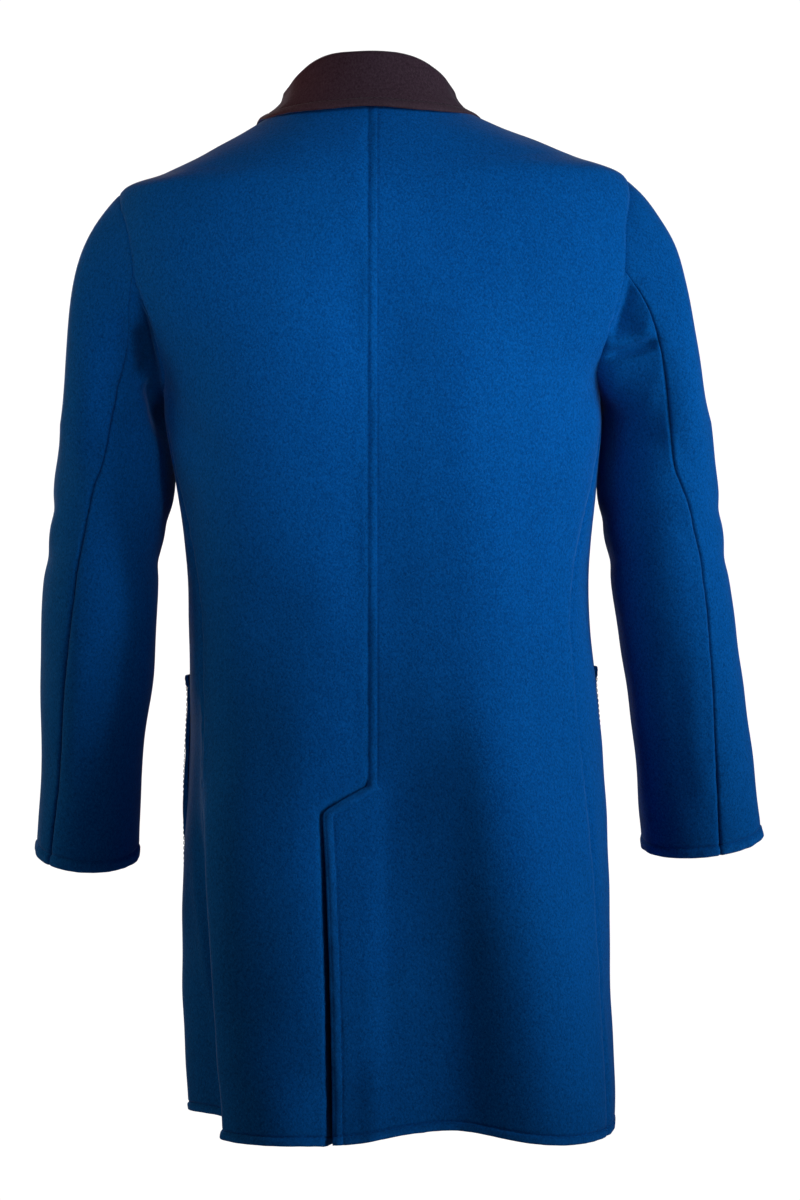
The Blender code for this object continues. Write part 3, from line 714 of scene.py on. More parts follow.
@dataclass(frozen=True)
class Edge:
    """How an edge of cloth is sewn: its lap past the seam, its roll, its welt and its stitches."""

    roll: float = 0.0009
    reach: float = 0.0024
    welt: float = 0.0
    welt_rise: float = 0.0020
    welt_fall: float = 0.0030
    welt_end: float = 0.0022
    stitch: float = 0.0
    groove: float = 0.0007
    groove_width: float = 0.0011
    lap: float = 0.0

    near_marks: ClassVar[tuple] = (0.0, 0.0003, 0.0007, 0.0012, 0.0017, 0.0024, 0.0036, 0.0052)
    plain_mark: ClassVar[float] = 0.0078
    stitch_marks: ClassVar[tuple] = (
        -0.0017, -0.0010, -0.0005, 0.0, 0.0005, 0.0010, 0.0017, 0.0030, 0.0050,
    )

    def marks(self) -> list[float]:
        """Where rows of points are wanted.

        Returns:
            Distances from the edge.
        """
        near = list(self.near_marks)
        if not self.stitch:
            return near + [self.plain_mark]
        line = self.lap + self.stitch
        return near + [line + step for step in self.stitch_marks if line + step > near[-1]]

    def column(self) -> int:
        """The number of the row of points that the stitches follow."""
        return self.marks().index(self.lap + self.stitch)

    def brushed(self, distance: Array) -> Array:
        """How far the nap is brushed up at a distance from the edge, most on the roll itself."""
        return 1.0 - smooth((distance - self.lap - 0.4 * self.stitch) / (0.55 * self.stitch))

    def relief(self, distance: Array) -> Array:
        """The height that the sewing adds.

        Args:
            distance: distances from the edge.

        Returns:
            The height at each distance.
        """
        distance = distance - self.lap
        height = -self.roll * hump(distance, self.reach)
        if self.stitch:
            inside = 1.0 - smooth((distance - self.stitch + self.welt_end) / self.welt_fall)
            height = height + self.welt * smooth(distance / self.welt_rise) * inside
            height = height - self.groove * hump(distance - self.stitch, self.groove_width)
        return height


SEAM = Edge(lap=SEAM_LAP)
WELT = Edge(roll=0.0007, reach=0.0018, welt=0.0005, stitch=0.0078, groove=0.0004, lap=SEAM_LAP)
HEMMED = Edge(roll=0.0001, welt=0.0014, stitch=0.0086, groove=0.0012)
FREE = Edge(roll=0.0002, welt=0.0008, stitch=0.0086, groove=0.0007)
SLEEVE_SEAM = Edge(roll=0.0022, reach=0.0016, lap=SEAM_LAP)
RAW = Edge(roll=0.0002)


def spread(lengths: Array, first: Edge, last: Edge, step: float, ease: Optional[Array] = None) -> Array:
    """Places across rows of cloth, close together at both edges.

    Args:
        lengths: length of each row.
        first: sewing of the first edge.
        last: sewing of the last edge.
        step: distance between places in the middle.
        ease: factor for the first edge's distances in each row, or None for 1.

    Returns:
        Distances from the first edge, a row of them for each length.
    """
    a, b = np.array(first.marks()), np.array(last.marks())
    count = max(2, int((lengths.max() - a[-1] - b[-1]) / step))
    rows = []
    for i, length in enumerate(lengths):
        start = a * (ease[i] if ease is not None else 1.0)
        fit = min(1.0, 0.85 * length / (start[-1] + b[-1]))
        start, end = start * fit, length - b[::-1] * fit
        rows.append(np.concatenate((start, np.linspace(start[-1], end[0], count + 1)[1:-1], end)))
    return np.array(rows)


def grid_normals(grid: Array) -> Array:
    """Normals of a grid of points, columns crossed with rows.

    Args:
        grid: the points, row by row.

    Returns:
        A direction for each point.
    """
    across = np.empty_like(grid)
    across[:, 1:-1] = grid[:, 2:] - grid[:, :-2]
    across[:, 0], across[:, -1] = grid[:, 1] - grid[:, 0], grid[:, -1] - grid[:, -2]
    down = np.empty_like(grid)
    down[1:-1] = grid[2:] - grid[:-2]
    down[0], down[-1] = grid[1] - grid[0], grid[-1] - grid[-2]
    return unit(np.cross(across, down))


def creased(points: Array, normals: Array, creases: Sequence[Crease]) -> Array:
    """The height that listed creases give the cloth.

    Args:
        points: places on the cloth.
        normals: its outward directions there.
        creases: the creases.

    Returns:
        The height at each place.
    """
    least_facing, facing_span, past_end, fade = 0.05, 0.45, 0.12, 0.35
    height = np.zeros(points.shape[:-1])
    for crease in creases:
        facing = smooth((normals @ np.array(crease.side.value) - least_facing) / facing_span)
        across = points[..., 1 if crease.side in (Side.LEFT, Side.RIGHT) else 0]
        away = np.stack((across - crease.across, points[..., 2] - crease.up), axis=-1)
        way = np.array((crease.to_across - crease.across, crease.to_up - crease.up))
        size = np.linalg.norm(way)
        way = way / size
        t = (away @ way) / size
        bowed = crease.bow * 4.0 * t * (1.0 - t)
        off = away @ np.array((-way[1], way[0])) - bowed
        ends = smooth((t + past_end) / fade) * smooth((1.0 + past_end - t) / fade)
        height += crease.depth * facing * ends * hump(off, crease.width)
    return height


@dataclass(frozen=True)
class Drape:
    """How cloth lies unevenly: broad swells, smaller ones and listed creases."""

    creases: tuple = ()
    swell: Waves = Waves(0.150, 0.0012, 3)
    dimple: Waves = Waves(0.048, 0.00045, 8)
    pucker: Waves = Waves(0.013, 0.00040, 21)
    pucker_reach: float = 0.010
    broad: float = 0.025
    still: float = 0.012
    least_swell: float = 0.35
    deep: float = -0.010

    def height(self, points: Array, normals: Array, sewn: Array) -> Array:
        """The height of the cloth.

        Args:
            points: places on the cloth.
            normals: outward directions there.
            sewn: distance from the nearest row of stitches or seam.

        Returns:
            The height at each place.
        """
        still = smooth(sewn / self.still)
        swell = self.swell.at(points) + self.dimple.at(points)
        height = swell * (self.least_swell + (1.0 - self.least_swell) * still)
        height = height + self.pucker.at(points) * hump(sewn, self.pucker_reach)
        broad = [crease for crease in self.creases if crease.width >= self.broad]
        small = [crease for crease in self.creases if crease.width < self.broad]
        height = height + creased(points, normals, broad)
        return height + creased(points, normals, small) * (0.5 + 0.5 * still)

    def hollows(self, points: Array, normals: Array) -> Array:
        """The height that the deepest creases alone give the cloth."""
        return creased(points, normals, [crease for crease in self.creases if crease.depth < self.deep])


class Wire:
    """A shader socket that Python expressions combine."""

    def __init__(self, graph: "Graph", socket: bpy.types.NodeSocket) -> None:
        """Keeps the socket and its graph."""
        self.graph, self.socket = graph, socket

    def __add__(self, other: Value) -> "Wire":
        """Sum."""
        return self.graph.math("ADD", self, other)

    def __radd__(self, other: Value) -> "Wire":
        """Sum."""
        return self.graph.math("ADD", other, self)

    def __sub__(self, other: Value) -> "Wire":
        """Difference."""
        return self.graph.math("SUBTRACT", self, other)

    def __rsub__(self, other: Value) -> "Wire":
        """Difference."""
        return self.graph.math("SUBTRACT", other, self)

    def __mul__(self, other: Value) -> "Wire":
        """Product."""
        return self.graph.math("MULTIPLY", self, other)

    def __rmul__(self, other: Value) -> "Wire":
        """Product."""
        return self.graph.math("MULTIPLY", other, self)

    def held(self) -> "Wire":
        """The value kept from 0 to 1."""
        return self.graph.math("MINIMUM", self.graph.math("MAXIMUM", self, 0.0), 1.0)


class Graph:
    """The nodes of one material, or of the world."""

    def __init__(self, owner: Union[bpy.types.Material, bpy.types.World]) -> None:
        """Starts without nodes.

        Args:
            owner: a new material or world.
        """
        self.owner = owner
        owner.use_nodes = True
        self.tree = owner.node_tree
        self.tree.nodes.clear()

    def node(
        self, kind: str, settings: Optional[dict] = None, inputs: Optional[dict] = None
    ) -> bpy.types.Node:
        """Adds a node.

        Args:
            kind: its type.
            settings: properties, set first.
            inputs: values or wires, by socket name or number.

        Returns:
            The node.
        """
        made = self.tree.nodes.new(kind)
        for name, value in (settings or {}).items():
            setattr(made, name, value)
        for name, value in (inputs or {}).items():
            if isinstance(value, Wire):
                self.tree.links.new(value.socket, made.inputs[name])
            else:
                made.inputs[name].default_value = value
        return made

    def wire(
        self,
        kind: str,
        output: Union[str, int],
        settings: Optional[dict] = None,
        inputs: Optional[dict] = None,
    ) -> Wire:
        """Adds a node and returns one of its outputs."""
        return Wire(self, self.node(kind, settings, inputs).outputs[output])

    def math(self, operation: str, a: Value, b: Value) -> Wire:
        """Arithmetic on two values."""
        return self.wire("ShaderNodeMath", 0, {"operation": operation}, {0: a, 1: b})

    def mix(self, share: Value, a: Value, b: Value) -> Wire:
        """A colour between two others."""
        return self.wire("ShaderNodeMix", 2, {"data_type": "RGBA"}, {0: share, 6: a, 7: b})

    def noise(self, place: Wire, scale: float, detail: float = 2.0, rough: float = 0.5) -> Wire:
        """Soft noise, about 0.5."""
        inputs = {"Vector": place, "Scale": scale, "Detail": detail, "Roughness": rough}
        return self.wire("ShaderNodeTexNoise", 0, {"noise_dimensions": "3D"}, inputs)

    def place(self) -> Wire:
        """Places on the piece, in metres."""
        return self.wire("ShaderNodeTexCoord", "Object")

    def turned(self, place: Wire, turn: tuple, scale: tuple) -> Wire:
        """Places turned and stretched."""
        inputs = {"Vector": place, "Rotation": turn, "Scale": scale}
        return self.wire("ShaderNodeMapping", 0, None, inputs)

    def chosen(self, by_light: Wire, by_camera: Wire, share: float = 1.0) -> Wire:
        """One shader for light, and another, up to a share, for what the camera sees."""
        seen = self.wire("ShaderNodeLightPath", "Is Camera Ray") * share
        return self.wire("ShaderNodeMixShader", 0, None, {0: seen, 1: by_light, 2: by_camera})

    def end(self, surface: Wire, kind: str) -> Union[bpy.types.Material, bpy.types.World]:
        """Ends in an output node of a kind and returns what it belongs to."""
        self.node(kind, None, {"Surface": surface})
        return self.owner

    def finish(self, inputs: dict) -> bpy.types.Material:
        """Ends the material in one surface shader with these inputs."""
        surface = self.wire("ShaderNodeBsdfPrincipled", 0, None, inputs)
        return self.end(surface, "ShaderNodeOutputMaterial")


def new_material(name: str) -> Graph:
    """The graph of a new material."""
    return Graph(bpy.data.materials.new(name))


def shade(colour: tuple, factor: float) -> tuple:
    """A colour made darker or lighter."""
    return tuple(min(1.0, c * factor) for c in colour) + (1.0,)


@dataclass(frozen=True)
class NapFinish:
    """Brushed wool with a soft combed nap."""

    name: str
    colour: tuple
    dusty: tuple
    sheen: float = 0.18
    sheen_tint: tuple = (0.72, 0.74, 0.84, 1.0)
    depth: float = 0.0009
    clump_scale: float = 240.0
    fibre_scale: float = 560.0
    fleck_scale: float = 780.0
    cloud_scale: float = 11.0
    darkest: float = 0.58
    lightest: float = 1.38
    cloudy: float = 0.16
    cloud_share: float = 0.25
    fleck_share: float = 0.6
    # Painted shade: how much, and to what tone, the cloth is darkened where shade falls.
    painted_shade_share: float = 0.85
    painted_shade_tone: float = 0.10

    def material(self) -> bpy.types.Material:
        """The finish as a material.

        Returns:
            The material; its brushed attribute brushes the nap up above 0 and paints shade below 0.
        """
        graph = new_material(self.name)
        place = graph.place()
        combed = graph.turned(place, (0.25, 0.45, 0.0), (1.0, 1.0, 0.75))
        crossed = graph.turned(place, (-0.3, -0.8, 0.0), (1.0, 1.0, 0.60))
        clumps = graph.noise(place, self.clump_scale, 2.0, 0.55)
        fibres = graph.noise(combed, self.fibre_scale, 3.0, 0.7)
        flecks = graph.noise(crossed, self.fleck_scale, 2.0, 0.6)
        clouds = graph.noise(place, self.cloud_scale, 2.0)
        nap_and_painted_shade = graph.wire("ShaderNodeAttribute", "Fac", {"attribute_name": "brushed"})
        brushed, painted_shade = nap_and_painted_shade.held(), (0.0 - nap_and_painted_shade).held()
        tone = (0.5 + (clumps - 0.5) * 0.7 + (fibres - 0.5) * 2.6).held()
        base = graph.mix(tone, shade(self.colour, self.darkest), shade(self.colour, self.lightest))
        dim, clear = shade(self.colour, 1.0 - self.cloudy), shade(self.colour, 1.0 + self.cloudy)
        base = graph.mix(self.cloud_share, base, graph.mix(clouds, dim, clear))
        specks = ((flecks - 0.55) * 8.0).held() * self.fleck_share + brushed * (0.05 + 0.4 * fibres)
        base = graph.mix(specks.held(), base, self.dusty + (1.0,))
        # Painted shade: darker where the brushed attribute is below 0, in deep creases, along seams and under
        # the vent's lap.
        base = graph.mix(painted_shade * self.painted_shade_share, base, shade(self.colour, self.painted_shade_tone))
        relief = {"Strength": 0.5, "Distance": self.depth, "Height": clumps * 0.6 + fibres * 0.6}
        return graph.finish(
            {
                "Base Color": base,
                "Roughness": 0.92,
                "Specular IOR Level": 0.02,
                "Sheen Weight": self.sheen,
                "Sheen Roughness": 0.32,
                "Sheen Tint": self.sheen_tint,
                "Normal": graph.wire("ShaderNodeBump", 0, None, relief),
            }
        )


@dataclass(frozen=True)
class ThreadFinish:
    """Sewing thread."""

    name: str
    colour: tuple
    twist_scale: float = 2400.0

    def material(self) -> bpy.types.Material:
        """The finish as a material.

        Returns:
            The material.
        """
        graph = new_material(self.name)
        twist = graph.noise(graph.place(), self.twist_scale, 1.0)
        base = graph.mix(twist, shade(self.colour, 0.7), shade(self.colour, 1.3))
        return graph.finish({"Base Color": base, "Roughness": 0.85, "Specular IOR Level": 0.05})


@dataclass(frozen=True)
class HornFinish:
    """Dark polished horn."""

    name: str
    colour: tuple
    pale: tuple
    streak_scale: float = 420.0

    def material(self) -> bpy.types.Material:
        """The finish as a material.

        Returns:
            The material.
        """
        graph = new_material(self.name)
        streaked = graph.turned(graph.place(), (0.0, 0.5, 0.0), (1.0, 1.0, 0.18))
        streaks = graph.noise(streaked, self.streak_scale, 4.0, 0.6)
        pale = ((streaks - 0.42) * 3.0).held()
        base = graph.mix(pale, self.colour + (1.0,), self.pale + (1.0,))
        rough = 0.28 + streaks * 0.16
        return graph.finish(
            {"Base Color": base, "Roughness": rough, "Coat Weight": 0.15, "Coat Roughness": 0.2}
        )


@dataclass(frozen=True)
class FloorFinish:
    """Plain pale floor that the camera sees as pale even where little light falls."""

    name: str
    colour: tuple
    mottle_scale: float = 3.0
    glow: float = 0.85

    def material(self) -> bpy.types.Material:
        """The finish as a material.

        Returns:
            The material.
        """
        graph = new_material(self.name)
        mottle = graph.noise(graph.place(), self.mottle_scale, 3.0)
        base = graph.mix(mottle, shade(self.colour, 0.98), shade(self.colour, 1.02))
        lit = graph.wire("ShaderNodeBsdfPrincipled", 0, None, {"Base Color": base, "Roughness": 0.9})
        pale = graph.wire("ShaderNodeEmission", 0, None, {"Color": self.colour + (1.0,)})
        return graph.end(graph.chosen(lit, pale, self.glow), "ShaderNodeOutputMaterial")


class Cloth(Enum):
    """The face of the cloth that a piece shows."""

    OUTER = "outer_cloth"
    REVERSE = "reverse_cloth"


class Held(Enum):
    """What keeps a piece of cloth in its form."""

    HUNG = "hung"
    FOLDED = "folded"


@dataclass
class Wardrobe:
    """The finishes that the coat's pieces share."""

    blue: bpy.types.Material = field(init=False)
    plum: bpy.types.Material = field(init=False)
    blue_thread: bpy.types.Material = field(init=False)
    plum_thread: bpy.types.Material = field(init=False)
    horn: bpy.types.Material = field(init=False)

    def __post_init__(self) -> None:
        """Makes each finish once."""
        self.blue = NapFinish("blue_nap", (0.0008, 0.074, 0.300), (0.008, 0.125, 0.450)).material()
        self.plum = NapFinish("plum_nap", (0.046, 0.0255, 0.0385), (0.070, 0.045, 0.059)).material()
        self.blue_thread = ThreadFinish("blue_thread", (0.0008, 0.062, 0.250)).material()
        self.plum_thread = ThreadFinish("plum_thread", (0.014, 0.008, 0.011)).material()
        self.horn = HornFinish("dark_horn", (0.012, 0.007, 0.006), (0.060, 0.034, 0.022)).material()

    def faces(self, cloth: Cloth) -> tuple:
        """The finishes of a piece's outside, its inside and its thread."""
        outer, reverse = (self.blue, self.plum, self.blue_thread), (self.plum, self.blue, self.plum_thread)
        return outer if cloth is Cloth.OUTER else reverse


def mesh_object(
    name: str,
    points: Array,
    faces: Array,
    slots: Array,
    materials: Sequence,
    brushed: Optional[Array] = None,
) -> bpy.types.Object:
    """A smooth mesh object.

    Args:
        name: its name.
        points: vertices.
        faces: four corners of each face.
        slots: the material slot of each face.
        materials: the materials, by slot.
        brushed: how far the nap is brushed up at each vertex, with painted shade below 0, or None.

    Returns:
        The object, linked into the scene.
    """
    mesh = bpy.data.meshes.new(name)
    mesh.vertices.add(len(points))
    mesh.vertices.foreach_set("co", np.ascontiguousarray(points, np.float32).ravel())
    mesh.loops.add(faces.size)
    mesh.loops.foreach_set("vertex_index", np.ascontiguousarray(faces, np.int32).ravel())
    mesh.polygons.add(len(faces))
    mesh.polygons.foreach_set("loop_start", np.arange(0, faces.size, 4, dtype=np.int32))
    mesh.polygons.foreach_set("material_index", np.ascontiguousarray(slots, np.int32))
    for material in materials:
        mesh.materials.append(material)
    if brushed is not None:
        values = mesh.attributes.new("brushed", "FLOAT", "POINT")
        values.data.foreach_set("value", np.ascontiguousarray(brushed, np.float32))
    mesh.update(calc_edges=True)
    mesh.validate()
    mesh.shade_smooth()
    made = bpy.data.objects.new(name, mesh)
    bpy.context.scene.collection.objects.link(made)
    return made


def quads(rows: int, columns: int, closed: bool = False) -> Array:
    """Corner numbers of the faces of a grid of points.

    Args:
        rows: number of rows.
        columns: number of columns.
        closed: True where the last column joins the first.

    Returns:
        Four corners for each face.
    """
    across = np.arange(columns if closed else columns - 1)
    i, j = np.meshgrid(np.arange(rows - 1), across, indexing="ij")
    k = (j + 1) % columns
    corners = (i * columns + j, i * columns + k, (i + 1) * columns + k, (i + 1) * columns + j)
    return np.stack(corners, axis=-1).reshape(-1, 4)


def rim_loop(rows: int, columns: int) -> Array:
    """Numbers of the points round the rim of a grid."""
    number = np.arange(rows * columns).reshape(rows, columns)
    return np.concatenate((number[0], number[1:, -1], number[-1, -2::-1], number[-2:0:-1, 0]))


@dataclass
class Sheet:
    """A piece of cloth as a closed thin shell with rounded edges."""

    name: str
    face: Array
    normals: Array
    rim: Array
    # How far the nap is brushed up, with painted shade below 0.
    brushed: Array
    middle: bool = False
    thinnest: float = 0.06
    inside_share: float = 0.4

    def build(self, outside: bpy.types.Material, inside: bpy.types.Material) -> bpy.types.Object:
        """Makes the shell.

        Args:
            outside: finish of the outer face and the edges.
            inside: finish of the inner face.

        Returns:
            The object.
        """
        half = 0.5 * WALL
        inset = half - np.sqrt(np.maximum(half**2 - np.maximum(half - self.rim, 0.0) ** 2, 0.0))
        inset = np.minimum(inset, half * (1.0 - self.thinnest))[..., None]
        shift = half if self.middle else 0.0
        outer = self.face + self.normals * (shift - inset)
        inner = self.face + self.normals * (shift - WALL + inset)
        rows, columns = self.rim.shape
        front = quads(rows, columns)
        across, down = outer[0, 1] - outer[0, 0], outer[1, 0] - outer[0, 0]
        inverted = np.sum(np.cross(across, down) * self.normals[0, 0]) < 0
        if inverted:
            front = front[:, ::-1]
        back = front[:, ::-1] + rows * columns
        loop = rim_loop(rows, columns)
        after = np.roll(loop, -1)
        sides = np.stack((loop, loop + rows * columns, after + rows * columns, after), axis=-1)
        if inverted:
            sides = sides[:, ::-1]
        faces = np.concatenate((front, back, sides))
        slots = np.concatenate((np.zeros(len(front)), np.ones(len(back)), np.zeros(len(sides))))
        points = np.concatenate((outer.reshape(-1, 3), inner.reshape(-1, 3)))
        # Painted shade below 0 goes on the inside too, at a share.
        nap = np.concatenate((self.brushed.ravel(), self.inside_share * self.brushed.ravel()))
        return mesh_object(self.name, points, faces, slots, (outside, inside), nap)


class Line(NamedTuple):
    """A line that stitches follow, with the cloth's outward direction along it."""

    points: Array
    normals: Array


@dataclass(frozen=True)
class Stitching:
    """Rows of stitches, each a short thread that dips into the cloth at both ends."""

    length: float = 0.0036
    gap: float = 0.0012
    thick: float = 0.00030
    high: float = 0.00022
    sunk: float = 0.00045
    sides: int = 5

    def build(self, name: str, lines: Sequence[Line], material: bpy.types.Material) -> bpy.types.Object:
        """Lays stitches along lines.

        Args:
            name: name of the piece.
            lines: the lines to follow.
            material: the thread's finish.

        Returns:
            One object with all the stitches.
        """
        threads = [self.thread(line) for line in lines]
        points = np.concatenate(threads)
        count, along_it, around = points.shape[:3]
        one = quads(along_it, around, True)
        faces = (one[None] + (np.arange(count) * along_it * around)[:, None, None]).reshape(-1, 4)
        return mesh_object(name, points.reshape(-1, 3), faces, np.zeros(len(faces)), (material,))

    def thread(self, line: Line) -> Array:
        """Every stitch on one line.

        Args:
            line: the line to follow.

        Returns:
            Rings of points, by stitch, by place along it and round it.
        """
        reach = reach_along(line.points, 0)
        starts = np.arange(self.gap, reach[-1] - self.length, self.length + self.gap)
        shares = np.array((0.0, 0.2, 0.5, 0.8, 1.0))
        height = np.array((-self.sunk, 0.6 * self.high, self.high, 0.6 * self.high, -self.sunk))
        at = starts[:, None] + shares * self.length
        place = np.stack([np.interp(at, reach, line.points[:, k]) for k in range(3)], axis=-1)
        up = unit(np.stack([np.interp(at, reach, line.normals[:, k]) for k in range(3)], axis=-1))
        place = place + up * height[None, :, None]
        way = unit(np.gradient(place, axis=1))
        across = unit(np.cross(way, up))
        over = np.cross(across, way)
        turn = np.arange(self.sides)[:, None] * 2.0 * math.pi / self.sides
        ring = across[:, :, None] * np.cos(turn) + over[:, :, None] * np.sin(turn)
        return place[:, :, None] + ring * self.thick


class Cut(NamedTuple):
    """The flat cut of what shows of a piece: its two sides and its area."""

    flat: tuple
    area: float


@dataclass
class Coat:
    """What all pieces of the coat share, and how each is handed over."""

    finishes: Wardrobe
    body: BodyForm = field(default_factory=BodyForm)
    vent: VentForm = field(default_factory=VentForm)
    stitching: Stitching = field(default_factory=Stitching)

    def add(self, piece: bpy.types.Object, slot: str) -> None:
        """Puts a piece on the coat's one body."""
        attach(piece, "root")

    def hand_over(self, piece: bpy.types.Object, node: str, slot: str) -> None:
        """Puts a piece on the body in the place of its solid."""
        self.add(piece, slot)
        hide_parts(node)

    def sew(
        self, sheet: Sheet, lines: Sequence[Line], cloth: Cloth, held: Held, rests_on: Sequence[str], cut: Cut
    ) -> None:
        """Makes a piece of cloth with its stitches.

        Args:
            sheet: the piece.
            lines: where its stitches run.
            cloth: the face that it shows.
            held: what keeps its form; not used.
            rests_on: the nodes that carry it; not used.
            cut: its flat cut; not used.
        """
        outside, inside, thread = self.finishes.faces(cloth)
        made = sheet.build(outside, inside)
        self.hand_over(made, sheet.name, cloth.value)
        stitches = self.stitching.build("stitches_" + sheet.name, lines, thread)
        self.add(stitches, cloth.value)


@dataclass(frozen=True)
class PanelRows:
    """How close together the rows of a body panel lie, up from the hem."""

    hem_gap: float = 0.004
    skirt_top: float = -0.112
    vent_foot: float = -0.6460
    vent_top: float = -0.6080
    vent_step: float = 0.0012
    clear: float = 0.001
    yoke_foot: float = -0.110
    yoke_count: int = 74

    def levels(self, form: BodyForm) -> Array:
        """Levels of the rows, close together at the hem, the vent's top and the shoulders.

        Args:
            form: the body.

        Returns:
            The levels.
        """
        marks = form.hem + np.array(HEMMED.marks())
        skirt = np.arange(marks[-1] + self.hem_gap, self.skirt_top, PANEL_STEP)
        vent = np.arange(self.vent_foot, self.vent_top, self.vent_step)
        below, above = skirt[skirt < vent[0] - self.clear], skirt[skirt > vent[-1] + self.clear]
        yoke = np.linspace(self.yoke_foot, form.neck, self.yoke_count)
        return np.concatenate((marks, below, vent, above, yoke))


@dataclass
class PanelGrid:
    """Places of a body panel, in rows up from the hem and spaced by distance along the cloth."""

    form: BodyForm
    levels: Array
    start: Array
    end: Array
    edges: tuple
    ease: Array
    rows: Array = field(init=False)
    near: Array = field(init=False)
    far: Array = field(init=False)
    up: Array = field(init=False)
    base: Array = field(init=False)
    normals: Array = field(init=False)
    neck_share: float = 1.5

    def __post_init__(self) -> None:
        """Spaces the places, measures them from the edges and finds the body's face there."""
        shares = np.linspace(0.0, 1.0, SAMPLES)
        angles = self.start[:, None] + (self.end - self.start)[:, None] * shares
        reach = reach_along(self.form.point(self.levels[:, None], angles), 1)
        places = spread(reach[:, -1], self.edges[0], self.edges[1], PANEL_STEP, self.ease)
        found = np.array([np.interp(p, r, a) for p, r, a in zip(places, reach, angles)])
        self.rows = self.levels[:, None]
        self.near, self.far = places / self.ease[:, None], reach[:, -1:] - places
        self.up = np.broadcast_to(self.rows - self.form.hem, found.shape)
        self.base = self.form.point(self.rows, found)
        self.normals = self.form.normal(self.rows, found)

    @property
    def sewn(self) -> Array:
        """Distance from the nearest sewn edge or the hem."""
        return np.minimum(np.minimum(self.near, self.far), self.up)

    def rim(self) -> Array:
        """Distance from the nearest edge, the neck's too."""
        neck = np.broadcast_to((self.form.neck - self.rows) * self.neck_share, self.up.shape)
        return np.minimum(np.minimum(self.near, self.far), np.minimum(self.up, neck))

    def moved(self, out: Array, drop: Union[Array, float]) -> Line:
        """The places moved off the body.

        Args:
            out: how far each moves outwards.
            drop: how far each moves down.

        Returns:
            The new places, with the outward directions there.
        """
        face = self.base + self.normals * out[..., None]
        face[..., 2] -= drop
        normals = grid_normals(face)
        sign = np.sign(np.sum(normals * self.normals, axis=-1))
        return Line(face, normals * sign[..., None])


@dataclass
class SidedPiece:
    """A piece that each side of the coat has."""

    coat: Coat
    left: bool
    part: ClassVar[str] = ""

    @property
    def name(self) -> str:
        """The node that the piece stands for."""
        return self.beside(self.part)

    @property
    def side(self) -> float:
        """1 on the wearer's left, -1 on the right."""
        return 1.0 if self.left else -1.0

    def beside(self, part: str) -> str:
        """The node of any part on the same side."""
        return part + ("_left" if self.left else "_right")


@dataclass
class BodyPanel(SidedPiece):
    """A panel that hangs on the body, hemmed below: one half of the back, or one front."""

    drape: Drape
    cut: Cut

    def lapped(self, levels: Array, angle: Array, way: float) -> Array:
        """Angles of a sewn edge, moved on by the seam's lap."""
        radius = np.linalg.norm(self.coat.body.point(levels, angle)[:, :2], axis=1)
        return angle + way * SEAM_LAP / radius

    def hang(self, grid: PanelGrid, laid: Line, nap: Array, lines: Sequence[Line]) -> None:
        """Makes the panel with its stitches.

        Args:
            grid: the places that the panel is made of.
            laid: the places once they lie as cloth.
            nap: how far the nap is brushed up, with painted shade below 0.
            lines: where stitches run besides the hem's.
        """
        sheet = Sheet(self.name, laid.points, laid.normals, grid.rim(), nap)
        hem = HEMMED.column()
        hemmed = Line(laid.points[hem], laid.normals[hem])
        self.coat.sew(sheet, [hemmed, *lines], Cloth.OUTER, Held.HUNG, ("collar",), self.cut)


@dataclass
class BackPanel(BodyPanel):
    """One half of the back, from the centre back seam or the vent's edge to the side."""

    part: ClassVar[str] = "back"
    slant_ease: ClassVar[float] = 0.95

    @property
    def sewing(self) -> Edge:
        """How the panel's edge at centre back is sewn."""
        return SEAM if self.left else WELT

    def grid(self) -> PanelGrid:
        """The places that the panel is made of.

        Returns:
            The grid, from centre back to the side.
        """
        form, vent = self.coat.body, self.coat.vent
        levels = PanelRows().levels(form)
        end = self.lapped(levels, form.side_edge(levels, self.side, True), self.side)
        lap = vent.lap(levels)
        ease = np.ones(len(levels))
        if self.left:
            under = -vent.underlap * smooth(lap / vent.lap_top)
            begin = np.where(levels >= vent.top, -SEAM_LAP, under - SEAM_LAP)
        else:
            begin = np.maximum(lap, SEAM_LAP)
            ease = ease + self.slant_ease * vent.slanted(levels)
        start = form.angle_at_x(levels, begin, False)
        return PanelGrid(form, levels, start, end, (self.sewing, SEAM), ease)

    def build(self) -> None:
        """Makes the panel and its stitches."""
        vent, grid, first = self.coat.vent, self.grid(), self.sewing
        rows, x = grid.rows, grid.base[..., 0]
        out = -vent.sunk(rows, x) if self.left else vent.risen(rows, x)
        out = out + self.drape.height(grid.base, grid.normals, grid.sewn)
        out = out + first.relief(grid.near) + SEAM.relief(grid.far) + HEMMED.relief(grid.up)
        laid = grid.moved(out, vent.dip(rows, x) if self.left else 0.0)
        nap, lines = HEMMED.brushed(grid.up), []
        if self.left:
            # Painted shadow of the lap on the left back.
            nap = nap - vent.painted_shadow(rows, x)
        else:
            nap = np.maximum(nap, first.brushed(grid.near) * vent.loose(rows))
            hem, edge = HEMMED.column(), first.column()
            lines.append(Line(laid.points[hem:, edge], laid.normals[hem:, edge]))
        self.hang(grid, laid, nap, lines)


